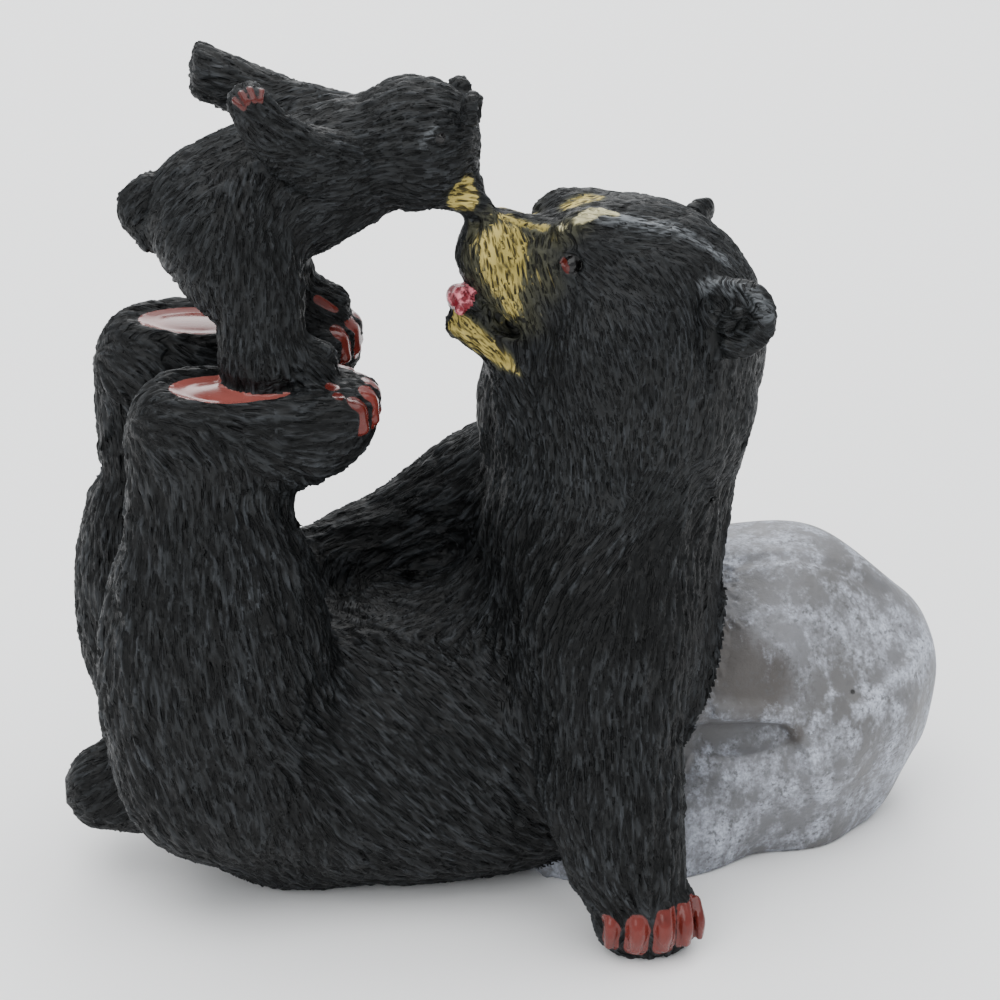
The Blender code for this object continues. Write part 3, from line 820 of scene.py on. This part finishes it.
# The claws of the cub's near hand: the root and the tip of each
CUB_CLAWS = (
    ((-50.2, -19.6, 170.6), (-51.9, -18.7, 171.9)),
    ((-49.5, -19.8, 171.7), (-50.6, -18.6, 173.2)),
    ((-48.2, -19.7, 172.0), (-48.9, -18.2, 173.8)),
    ((-46.9, -19.3, 171.8), (-46.6, -17.9, 173.2)),
)

# The claws of the cub's far foot, by how far back they lie
CUB_TOES = (9.4, 11.8, 14.2)

# The red toe pads on her near sole: place and radius
TOE_PADS = (((-35, -20.6, 114.6), 1.5), ((-34.2, -24, 114.2), 1.2))


MASKS = ("tan", "cream", "frost_and_highlight", "red", "pad", "tongue", "eye", "stain_and_shade", "wear_and_highlight")


def paint_masks(points, on_cub, on_rock):
    """Where each colour of paint lies, from nought to one at each point of the skin."""
    masks = {name: np.zeros(len(points)) for name in MASKS}
    mother = ~on_cub & ~on_rock

    def lay(name, gap, where, softness=1.0, strength=1.0):
        laid = np.where(where, blot(gap, softness) * strength, 0)
        masks[name] = np.maximum(masks[name], laid)

    near_face = np.flatnonzero(mother & (np.linalg.norm(points - HEAD.origin, axis=1) < 52))
    paint_face(masks, near_face, HEAD.local(points[near_face]))
    for side, height, back in ((-1, NEAR_SOLE, 0.0), (1, FAR_SOLE, LEG_STAGGER)):
        mid = (-54 - 0.9 * back, side * LEG_SPREAD + PAD_SHIFT)
        tilt = math.tan(math.radians(SOLE_TILT))
        rise = points[:, 2] - (height + tilt * (-50 - points[:, 0]))
        ahead, aside = points[:, 0] - mid[0], points[:, 1] - mid[1]
        oval = np.hypot(ahead / (PAD_LENGTH / 2), aside / (PAD_WIDTH / 2))
        lay("pad", (oval - 0.82) * PAD_WIDTH / 2, mother & (np.abs(rise) < 4), 0.4)
        for start, end in toe_lines(side, height):
            lay("red", line_gap(points, start, end, 2.05), mother, 0.3)
    for spot, radius in TOE_PADS:
        lay("red", np.linalg.norm(points - spot, axis=1) - radius, mother, 0.3)
    for top, middle, low, radius in paw_claws():
        lay("red", line_gap(points, top, middle, radius + 0.45), mother & (points[:, 2] < 13), 0.4)
        lay("red", line_gap(points, middle, low, radius + 0.4), mother, 0.4)
    for root, tip in CUB_CLAWS:
        lay("red", line_gap(points, root, tip, 0.75), on_cub, 0.4)
    for y in CUB_TOES:
        lay("red", line_gap(points, (-34.6, y, 120.4), (-30.8, y, 117.6), 1), on_cub, 0.4)
    nose = HEAD.point(NOSE)
    for y in (-3, 3):
        lay("tan", line_gap(points, nose + (-4.6, y, 8), nose + (-3.7, y, 4.8), 3), on_cub, 0.8)
    for side in (-1, 1):
        x, y, z = CUB_EYE
        ball = (x, CUB_MIDDLE - side * (y - CUB_MIDDLE), z)
        lay("eye", np.linalg.norm(points - ball, axis=1) - CUB_EYE_RADIUS - 0.2, on_cub, 0.3)
        # Pale edge with painted highlight round the cub's face
        edge_y = CUB_MIDDLE + 11 * side
        edge = line_gap(points, (-13.9, edge_y, 162.2), (-16.2, edge_y + side, 159.2), 0.6)
        lay("frost_and_highlight", edge, on_cub, 0.8, 0.6)
    # Brown stain with painted shade beside her and under the hollow, then a band of painted shade along the
    # groove under the ledge
    lay("stain_and_shade", line_gap(points, (36, -14, 58), (50, -17, 42), 9), on_rock, 8)
    lay("stain_and_shade", line_gap(points, (34, -18, 30), (57, -19, 31), 3), on_rock, 2)
    # Pale wear with painted highlight along the boulder's crests
    for crest in ROCK_CRESTS:
        for start, end in zip(crest, crest[1:]):
            lay("wear_and_highlight", line_gap(points, start[:3], end[:3], 2.0), on_rock, 1)
    return masks


def paint_face(masks, face, local):
    """The paint of her face, from places in her head's own frame."""
    x, y, z = local.T
    beside = np.stack([x, np.abs(y), z], 1)

    def lay(name, gap, where=True, softness=1.0, strength=1.0):
        laid = np.where(where, blot(gap, softness) * strength, 0)
        masks[name][face] = np.maximum(masks[name][face], laid)

    patch = outline_gap(x, z, MUZZLE_PATCH)
    lay("tan", patch, np.abs(y) > 1.8, 2.6)
    lay("tan", patch - 2.5, np.abs(y) > 1.8, 4, 0.5)
    lay("tan", outline_gap(x, z, JAW_STRIPE), np.abs(y) > 1.2, 1.2)
    lay("tan", line_gap(beside, (36.4, 3, 2.6), (29.6, 4, 4.8), 1.2), True, 1.0)
    lay("tan", line_gap(beside, (30, 6, 3), (25, 10, -4), 3), True, 4, 0.36)
    lay("tan", line_gap(local, (25.4, -0.4, 10.2), (21.2, -1.8, 14), 1.6), y < 3, 1.4)
    lay("tan", line_gap(beside, (27.4, 7.2, 4.4), (25.4, 8.2, 9.2), 2.4), y > 0, 2.4, 0.42)
    for start, end, radius in BROW_LINE:
        lay("cream", line_gap(beside, start, end, radius), y > 0, 0.8)
    # Pale dry-brush with painted highlight along her brow, forehead and ear rim
    lay("frost_and_highlight", line_gap(beside, (22, 7.2, 13.2), (8, 9.8, 18.4), 1.5), y > 0, 1.6, 0.8)
    lay("frost_and_highlight", line_gap(beside, (8, 9.6, 18.2), (-8, 13, 19), 0.8), True, 1.4, 0.8)
    for start, end in zip(EAR_RIM[:4], EAR_RIM[1:5]):
        lay("frost_and_highlight", line_gap(local, start[:3], end[:3], 1.3), True, 1, 0.7)
    oval = np.linalg.norm((local - (32.9, 0, -16.2)) / (4.9, 6, 4.2), axis=1)
    lay("tongue", (oval - 1) * 3.5, (z < -13.2) & (z > -18.8) & (x > 32.4), 0.4)
    for side in (-1, 1):
        ball = (EYE_BALL[0], EYE_BALL[1] * side, EYE_BALL[2])
        gap = np.linalg.norm(local - ball, axis=1)
        lay("eye", gap - EYE_RADIUS - 0.25, True, 0.3)
        lay("red", gap - EYE_RADIUS - 0.35, z < 0.6 + 0.9 * (x - 22.3), 0.3)


# Tones of the paint on the coat: its grey is dry-brush with painted highlight on raised hair, the frost grey
# is pale dry-brush with painted highlight, and the cut black is painted shade in the grooves
COAT_BLACK, COAT_GREY_AND_HIGHLIGHT = (0.0075, 0.0082, 0.0084, 1), (0.040, 0.044, 0.049, 1)
FROST_AND_HIGHLIGHT_GREY, TAN_WASH = (0.27, 0.29, 0.31, 1), (0.085, 0.083, 0.045, 1)
TAN_DARK, TAN_LIGHT = (0.25, 0.2, 0.05, 1), (0.5, 0.4, 0.12, 1)
CREAM_DARK, CREAM_LIGHT = (0.3, 0.28, 0.13, 1), (0.66, 0.6, 0.38, 1)
SHADED_CUT_BLACK, EYE_BLACK = (0.002, 0.0022, 0.0023, 1), (0.004, 0.0035, 0.0035, 1)
CLAW_DARK, CLAW_LIGHT = (0.06, 0.007, 0.005, 1), (0.13, 0.02, 0.015, 1)
PAD_DARK, PAD_LIGHT = (0.13, 0.019, 0.014, 1), (0.22, 0.06, 0.05, 1)
TONGUE_DARK, TONGUE_LIGHT = (0.16, 0.012, 0.02, 1), (0.7, 0.2, 0.24, 1)

# Tones of the paint on the boulder
ROCK_DARK, ROCK_LIGHT = (0.09, 0.088, 0.089, 1), (0.155, 0.159, 0.175, 1)
ROCK_BROWN, ROCK_WHITE = (0.055, 0.048, 0.043, 1), (0.46, 0.495, 0.58, 1)
ROCK_DIRT, ROCK_PIT = (0.07, 0.07, 0.072, 1), (0.01, 0.01, 0.01, 1)


class Paint:
    """A material's node tree, with a short way to add each kind of node that is used here."""

    def __init__(self, name):
        self.material = bpy.data.materials.new(name)
        self.material.use_nodes = True
        self.tree = self.material.node_tree
        self.shader = self.tree.nodes["Principled BSDF"]

    def node(self, kind, sockets, **settings):
        made = self.tree.nodes.new(kind)
        for key, value in settings.items():
            setattr(made, key, value)
        for key, value in sockets.items():
            self.set(made.inputs[key], value)
        return made

    def set(self, socket, value):
        if isinstance(value, bpy.types.NodeSocket):
            self.tree.links.new(value, socket)
        else:
            socket.default_value = value

    def attribute(self, name):
        return self.node("ShaderNodeAttribute", {}, attribute_name=name)

    def math(self, operation, *values):
        return self.node("ShaderNodeMath", dict(enumerate(values)), operation=operation).outputs[0]

    def times(self, a, b):
        return self.math("MULTIPLY", a, b)

    def most(self, a, b):
        return self.math("MAXIMUM", a, b)

    def times_plus(self, a, b, more):
        return self.math("MULTIPLY_ADD", a, b, more)

    def scaled(self, vector, scale):
        return self.node("ShaderNodeVectorMath", {0: vector, 1: scale}, operation="MULTIPLY").outputs[0]

    def ramp(self, value, low, high, to_low=0.0, to_high=1.0):
        sockets = {"Value": value, "From Min": low, "From Max": high, "To Min": to_low, "To Max": to_high}
        return self.node("ShaderNodeMapRange", sockets, interpolation_type="SMOOTHSTEP").outputs[0]

    def mix(self, factor, a, b, blend="MIX"):
        made = self.node("ShaderNodeMix", {"Factor": factor}, data_type="RGBA", blend_type=blend)
        self.set(made.inputs[6], a)
        self.set(made.inputs[7], b)
        return made.outputs[2]

    def noise(self, vector, scale, detail=3.0, rough=0.55, flat=False):
        sockets = {"Vector": vector, "Scale": scale, "Detail": detail, "Roughness": rough}
        dimensions = "2D" if flat else "3D"
        return self.node("ShaderNodeTexNoise", sockets, noise_dimensions=dimensions).outputs["Fac"]

    def cells(self, vector, scale, flat=False):
        sockets = {"Vector": vector, "Scale": scale}
        dimensions = "2D" if flat else "3D"
        return self.node("ShaderNodeTexVoronoi", sockets, voronoi_dimensions=dimensions).outputs

    def place(self):
        return self.node("ShaderNodeTexCoord", {}).outputs["Object"]

    def bump(self, height, strength, distance, normal=None):
        sockets = {"Height": height, "Strength": strength, "Distance": distance}
        if normal is not None:
            sockets["Normal"] = normal
        return self.node("ShaderNodeBump", sockets).outputs[0]

    def finish(self, color, roughness, normal, coat=0.0):
        self.set(self.shader.inputs["Base Color"], color)
        self.set(self.shader.inputs["Roughness"], roughness)
        self.set(self.shader.inputs["Normal"], normal)
        self.set(self.shader.inputs["Coat Weight"], coat)
        self.set(self.shader.inputs["Coat Roughness"], 0.16)
        return self.material


def dashes(paint, fur, across, along, low, high):
    """Short marks that lie along the hair, of about that width and length in millimetres, dented by the bump
    and darkened as painted shade.
    """
    cells = paint.cells(paint.scaled(fur, (1 / across, 1 / along, 0)), 1.0, flat=True)
    return paint.ramp(cells["Distance"], high, low)


def coat_paint(name, across, along):
    """Near-black paint on carved hair, dry-brushed grey with painted highlight on the raised locks, with the
    other colours over it and painted shade darkening the cuts.
    """
    paint = Paint(name)
    place, fur = paint.place(), paint.attribute("fur").outputs["Vector"]
    mask = {key: paint.attribute(key).outputs["Fac"] for key in ("groove", "crest", *MASKS[:7])}
    marks = dashes(paint, fur, across, along, 0.14, 0.27)
    fine = dashes(paint, fur, 0.55 * across, 0.6 * along, 0.12, 0.3)
    streak = paint.noise(paint.scaled(fur, (1.6 / across, 0.9 / along, 0)), 1.0, 4.0, 0.6, flat=True)
    blotch = paint.noise(place, 55.0, 4.0)
    # Dry-brushed grey streaks with painted highlight, and lighter grey with painted highlight on the raised
    # locks
    wear_and_highlight = paint.times(paint.ramp(streak, 0.45, 0.72), paint.ramp(blotch, 0.35, 0.7, 0.3, 1.0))
    top = paint.times_plus(mask["crest"], 0.5, paint.times(wear_and_highlight, 0.75))
    color = paint.mix(top, COAT_BLACK, COAT_GREY_AND_HIGHLIGHT)
    # Pale grey frost with painted highlight, broken by the streaks
    frost_and_highlight = paint.times(mask["frost_and_highlight"], paint.ramp(streak, 0.35, 0.6, 0.1, 0.8))
    color = paint.mix(frost_and_highlight, color, FROST_AND_HIGHLIGHT_GREY)
    wash = paint.times(paint.ramp(mask["tan"], 0.02, 0.5), 0.6)
    color = paint.mix(wash, color, TAN_WASH)
    ragged = paint.times(paint.math("SUBTRACT", streak, 0.5), 1.1)

    def over(base, mask_name, tone):
        edge = paint.ramp(paint.math("ADD", mask[mask_name], ragged), 0.4, 0.66)
        return paint.mix(edge, base, tone)

    color = over(color, "tan", paint.mix(paint.ramp(blotch, 0.35, 0.65), TAN_DARK, TAN_LIGHT))
    color = over(color, "cream", paint.mix(streak, CREAM_DARK, CREAM_LIGHT))
    # Painted shade: the carved grooves and the dashes are darkened to near black
    cut_shade = paint.most(paint.ramp(mask["groove"], 0.12, 0.45), paint.times(marks, 0.9))
    cut_shade = paint.most(cut_shade, paint.times(fine, 0.6))
    cut_shade = paint.times(cut_shade, paint.ramp(mask["cream"], 0.2, 0.8, 1, 0.3))
    color = paint.mix(paint.math("MINIMUM", cut_shade, 0.94), color, SHADED_CUT_BLACK)
    claws = paint.ramp(mask["red"], 0.4, 0.6)
    color = paint.mix(paint.ramp(mask["eye"], 0.4, 0.6), color, EYE_BLACK)
    red_tone = paint.mix(paint.ramp(blotch, 0.4, 0.62), CLAW_DARK, CLAW_LIGHT)
    color = paint.mix(claws, color, red_tone)
    pad_tone = paint.mix(paint.ramp(blotch, 0.4, 0.6), PAD_DARK, PAD_LIGHT)
    pad = paint.ramp(mask["pad"], 0.4, 0.6)
    color = paint.mix(pad, color, pad_tone)
    tongue = paint.ramp(mask["tongue"], 0.4, 0.6)
    lumps = paint.ramp(paint.noise(place, 620.0, 2.0), 0.4, 0.62)
    color = paint.mix(tongue, color, paint.mix(lumps, TONGUE_DARK, TONGUE_LIGHT))
    gloss = paint.most(claws, pad)
    gloss = paint.most(gloss, paint.most(tongue, mask["eye"]))
    rough = paint.ramp(streak, 0.3, 0.7, 0.4, 0.56)
    rough = paint.times(rough, paint.ramp(gloss, 0, 1, 1, 0.5))
    relief = paint.times_plus(streak, 0.5, paint.times(marks, -1))
    relief = paint.times_plus(fine, -0.5, relief)
    relief = paint.times(relief, paint.math("SUBTRACT", 1, gloss))
    relief = paint.times_plus(tongue, paint.times(lumps, 2), relief)
    shine = paint.most(paint.times(gloss, 0.35), paint.times(mask["eye"], 0.4))
    paint.set(paint.shader.inputs["Specular IOR Level"], 0.15)
    return paint.finish(color, rough, paint.bump(relief, 0.9, 0.0004), shine)


def rock_paint():
    """Grey rock, stained brown with painted shade beside her and along the groove under its ledge, brushed
    over with bluish white, and worn pale with painted highlight on its crests.
    """
    paint = Paint("boulder_paint")
    place = paint.place()
    stain_and_shade, wear_and_highlight = paint.attribute("stain_and_shade").outputs["Fac"], paint.attribute("wear_and_highlight").outputs["Fac"]
    large, middling = paint.noise(place, 38.0, 4.0, 0.6), paint.noise(place, 150.0, 6.0, 0.62)
    drawn = paint.noise(paint.scaled(place, (1.0, 1.0, 0.4)), 330.0, 5.0, 0.65)
    grain, speck = paint.noise(place, 900.0, 4.0, 0.6), paint.noise(place, 1700.0, 2.0, 0.5)
    color = paint.mix(paint.ramp(large, 0.3, 0.7), ROCK_DARK, ROCK_LIGHT)
    # Random brown mottle, darker where the stain mask adds painted shade beside her and along the groove
    brown = paint.times_plus(middling, 0.8, paint.math("SUBTRACT", stain_and_shade, 0.4))
    brown = paint.ramp(brown, 0.4, 0.8)
    color = paint.mix(paint.times(brown, 0.9), color, ROCK_BROWN)
    brush = paint.times_plus(grain, 0.2, paint.times(middling, 0.35))
    brush = paint.times_plus(drawn, 0.45, brush)
    # The crests' mask adds pale wear with painted highlight to the white brushing
    brush = paint.times_plus(large, 0.3, paint.times_plus(wear_and_highlight, 0.2, brush))
    brush = paint.math("SUBTRACT", brush, paint.times(stain_and_shade, 0.16))
    brushed = paint.times(paint.ramp(brush, 0.59, 0.81), paint.ramp(speck, 0.3, 0.65, 0.4, 1.0))
    color = paint.mix(paint.times(brushed, 0.9), color, ROCK_WHITE)
    dirt = paint.times(paint.ramp(grain, 0.46, 0.36), paint.ramp(middling, 0.4, 0.6, 0.1, 0.7))
    color = paint.mix(dirt, color, ROCK_DIRT)
    pits = paint.ramp(paint.cells(place, 90.0)["Distance"], 0.06, 0.03)
    color = paint.mix(pits, color, ROCK_PIT)
    relief = paint.times_plus(grain, 0.35, paint.math("SUBTRACT", middling, pits))
    return paint.finish(color, paint.ramp(middling, 0.3, 0.7, 0.5, 0.7), paint.bump(relief, 0.7, 0.0006))


# How many patches the skin is shared into for its fine hair, and how many faces are shared out at a time
FUR_PATCHES = 2000
FACE_BATCH = 60000


def fur_coordinates(points, quads, coat, rng):
    """For each corner of each face, how far across and along the hair it lies in its patch of the skin."""
    middle = points[quads].mean(1)
    seeds = rng.choice(len(points), FUR_PATCHES, replace=False)
    patch = np.zeros(len(middle), np.int64)
    wobble = 1.2 * np.sin(middle[:, [1, 2, 0]] * 1.7) + 0.6 * np.sin(middle[:, [2, 0, 1]] * 3.9)
    places = points[seeds].astype(np.float32)
    for start in range(0, len(middle), FACE_BATCH):
        batch = slice(start, start + FACE_BATCH)
        part = (middle[batch] + wobble[batch]).astype(np.float32)
        patch[batch] = np.argmin(np.sum(places**2, 1) - 2 * part @ places.T, axis=1)
    home = seeds[patch]
    offset = points[quads] - points[home][:, None]
    across = np.einsum("fkc,fc->fk", offset, coat.left[home])
    along = np.einsum("fkc,fc->fk", offset, coat.flow[home])
    shift = rng.uniform(0, 200, (len(seeds), 2))[patch]
    return np.stack([across + shift[:, :1], along + shift[:, 1:], np.zeros_like(across)], -1)


def mesh_piece(name, points, normals, quads, corners, values, material):
    """An object from some of the faces, with the skin's own normals so that no seam shows between pieces."""
    used, faces = np.unique(quads, return_inverse=True)
    faces = faces.reshape(quads.shape)
    mesh = bpy.data.meshes.new(name)
    mesh.vertices.add(len(used))
    mesh.vertices.foreach_set("co", ((points[used] + SHIFT) * UNIT).ravel())
    mesh.loops.add(faces.size)
    mesh.loops.foreach_set("vertex_index", faces.ravel().astype(np.int32))
    mesh.polygons.add(len(faces))
    mesh.polygons.foreach_set("loop_start", np.arange(0, faces.size, 4, dtype=np.int32))
    mesh.update(calc_edges=True)
    mesh.validate()
    mesh.shade_smooth()
    mesh.normals_split_custom_set_from_vertices(normals[used])
    for key, value in values.items():
        layer = mesh.attributes.new(key, "FLOAT", "POINT")
        layer.data.foreach_set("value", value[used].astype(np.float32))
    if corners is not None:
        layer = mesh.attributes.new("fur", "FLOAT_VECTOR", "CORNER")
        layer.data.foreach_set("vector", corners.astype(np.float32).ravel())
    mesh.materials.append(material)
    return show(name, mesh)


def show(name, mesh):
    thing = bpy.data.objects.new(name, mesh)
    bpy.context.scene.collection.objects.link(thing)
    return thing


def stand_in(thing):
    """Ride on the figurine and stand for its solid, which is hidden."""
    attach(thing, "root")
    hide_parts("bear_and_cub_figurine")


# Where the hair is longest
SHOULDER = (22.0, -20.0, 78.0)
SHOULDER_REACH = 26.0

# Where no hair is cut: inside her near ear, in her head's own frame
EAR_MIDDLE = (-6.5, 24, 8.5)
EAR_REACH = 6.5

# The strokes of the coat in turn: on what, spacing, length, width and depth, and whether they are raised
STROKES = (
    ("body", 5.5, 16, 4.2, 0.8, True),
    ("body", 3.2, 10, 2.4, 0.75, True),
    ("shoulder", 3.2, 13, 1.8, 0.85, False),
    ("body", 2.5, 9, 1.15, 0.7, False),
    ("body", 1.7, 5.5, 0.95, 0.45, False),
    ("head", 1.5, 3.6, 0.9, 0.42, False),
    ("head", 4, 9, 2.2, 0.4, True),
    ("cub", 1.6, 6, 0.95, 0.5, False),
    ("cub", 2.8, 9, 2.0, 0.6, True),
)


def carve_coat(points, normals, on_cub, on_rock, rng):
    """The skin with its hair cut into it, stroke by stroke."""
    flow = hair_flow(points, normals, MOTHER_HAIR + head_guides())
    flow[on_cub] = hair_flow(points[on_cub], normals[on_cub], CUB_HAIR)
    coat = Coat(points, normals, flow)
    furry = ~on_rock & (points[:, 2] > 0.3)
    in_ear = np.linalg.norm(HEAD.local(points) - EAR_MIDDLE, axis=1) < EAR_REACH
    on_head = head_part(points) & ~on_cub & ~on_rock & ~in_ear
    body = furry & ~on_cub & ~on_head & ~in_ear
    shoulder = body & (np.linalg.norm(points - SHOULDER, axis=1) < SHOULDER_REACH)
    areas = {"body": body, "shoulder": shoulder, "head": on_head, "cub": on_cub}
    for area, spacing, length, width, depth, raised in STROKES:
        coat.strokes(rng, areas[area], spacing, length, width, depth, raised)
    return coat


def build_figurine():
    """Every piece of the figurine: the clay's skin, carved, painted and parted by what each part of it is."""
    rng = np.random.default_rng(SEED)
    low, high = (np.array(corner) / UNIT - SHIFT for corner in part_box("bear_and_cub_figurine"))
    clay, boulder, mother = model_figure()
    points, quads = clay.surface()
    points = points.astype(np.float64)
    normals = normals_of(points, quads)
    on_cub = clay.sample(mother, points) > 0.35
    on_rock = ~on_cub & (clay.sample(boulder, points) < 0.6)
    coat = carve_coat(points, normals, on_cub, on_rock, rng)
    masks = paint_masks(points, on_cub, on_rock)
    bare = [masks[name] for name in ("red", "pad", "tongue", "eye")]
    smooth = np.clip(1 - 1.4 * np.maximum.reduce(bare), 0, 1)
    relief = (coat.crest - coat.groove) * smooth
    grounded = points[:, 2] < 0.02
    relief[grounded] = 0
    carved = points + normals * (relief[:, None] - 0.2 * (~grounded)[:, None])
    carved[:, 2] = np.maximum(carved[:, 2], 0)
    carved = np.clip(carved, low + 0.02, high - 0.02)
    carved[grounded, 2] = 0
    normals = normals_of(carved, quads)
    corners = fur_coordinates(points, quads, coat, rng)
    values = {"groove": coat.groove * smooth, "crest": coat.crest * smooth, **masks}

    home = points[quads[:, 0]]
    cub, rock, head = on_cub[quads[:, 0]], on_rock[quads[:, 0]], head_part(home)
    under = grounded[quads].all(1)
    leg = (home[:, 0] < LEG_END) & (home[:, 2] > LEG_LOW) & ~cub
    parts = {
        "underside": under,
        "boulder": rock,
        "cub": cub,
        "mother_head": head,
        "mother_near_leg": leg & (home[:, 1] < 0),
        "mother_far_leg": leg,
        "mother_hips": home[:, 0] < HIPS_END,
        "mother_chest": np.ones(len(quads), bool),
    }
    body_paint = coat_paint("bear_coat", 1.2, 9.0)
    fine_paint = coat_paint("fine_coat", 0.95, 6.0)
    rock_finish = rock_paint()
    paints = {"boulder": rock_finish, "cub": fine_paint, "mother_head": fine_paint}
    left = np.ones(len(quads), bool)
    for name, chosen in parts.items():
        chosen = chosen & left
        left &= ~chosen
        finish = paints.get(name, body_paint)
        fur = None if name in ("boulder", "underside") else corners[chosen]
        stand_in(mesh_piece(name, carved, normals, quads[chosen], fur, values, finish))


def add_studio():
    """A pale floor under even light: a wide soft lamp overhead, a weak one in front and one low behind."""
    floor_mesh = bpy.data.meshes.new("studio_floor")
    corners = [(-3, -3, 0), (3, -3, 0), (3, 3, 0), (-3, 3, 0)]
    floor_mesh.from_pydata(corners, [], [(0, 1, 2, 3)])
    paint = Paint("floor_paint")
    dust = paint.noise(paint.place(), 3.0)
    color = paint.mix(dust, (0.9, 0.9, 0.9, 1), (0.93, 0.93, 0.93, 1))
    floor_mesh.materials.append(paint.finish(color, 0.9, paint.bump(dust, 0.05, 0.001)))
    show("studio_floor", floor_mesh)

    world = bpy.data.worlds.new("studio_air")
    world.use_nodes = True
    world.node_tree.nodes["Background"].inputs["Color"].default_value = (0.94, 0.97, 1.0, 1)
    world.node_tree.nodes["Background"].inputs["Strength"].default_value = 0.92
    bpy.context.scene.world = world
    add_lamp("overhead_lamp", (0, 0.1, 1.4), 2.4, 46)
    add_lamp("front_lamp", (-0.55, -0.8, 0.7), 0.6, 4)
    add_lamp("window_lamp", (0.12, 1.15, 0.62), 0.6, 5)


def add_lamp(name, place, size, power):
    lamp = bpy.data.lights.new(name, "AREA")
    lamp.size, lamp.energy = size, power
    thing = show(name, lamp)
    thing.location = place
    thing.rotation_euler = (Vector((0, 0, 0.08)) - Vector(place)).to_track_quat("-Z", "Y").to_euler()


# The photograph's view: degrees round from straight in front and up from level, metres away, then the
# height that it looks at, its lens and its sensor in millimetres
CAMERA_AZIMUTH = -8.0
CAMERA_ELEVATION = 25.0
CAMERA_DISTANCE = 0.75
CAMERA_HEIGHT = 79.0
CAMERA_LENS = 135.0
CAMERA_SENSOR = 36.0


def add_camera():
    turn, lift = math.radians(CAMERA_AZIMUTH), math.radians(CAMERA_ELEVATION)
    back = Vector((math.sin(turn) * math.cos(lift), -math.cos(turn) * math.cos(lift), math.sin(lift)))
    target = Vector(((SHIFT + (0, 0, CAMERA_HEIGHT)) * UNIT).tolist())
    lens = bpy.data.cameras.new("photo_view")
    lens.lens, lens.sensor_width = CAMERA_LENS, CAMERA_SENSOR
    camera = show("photo_view", lens)
    camera.location = target + CAMERA_DISTANCE * back
    camera.rotation_euler = back.to_track_quat("Z", "Y").to_euler()
    bpy.context.scene.camera = camera


build_figurine()
add_studio()
add_camera()
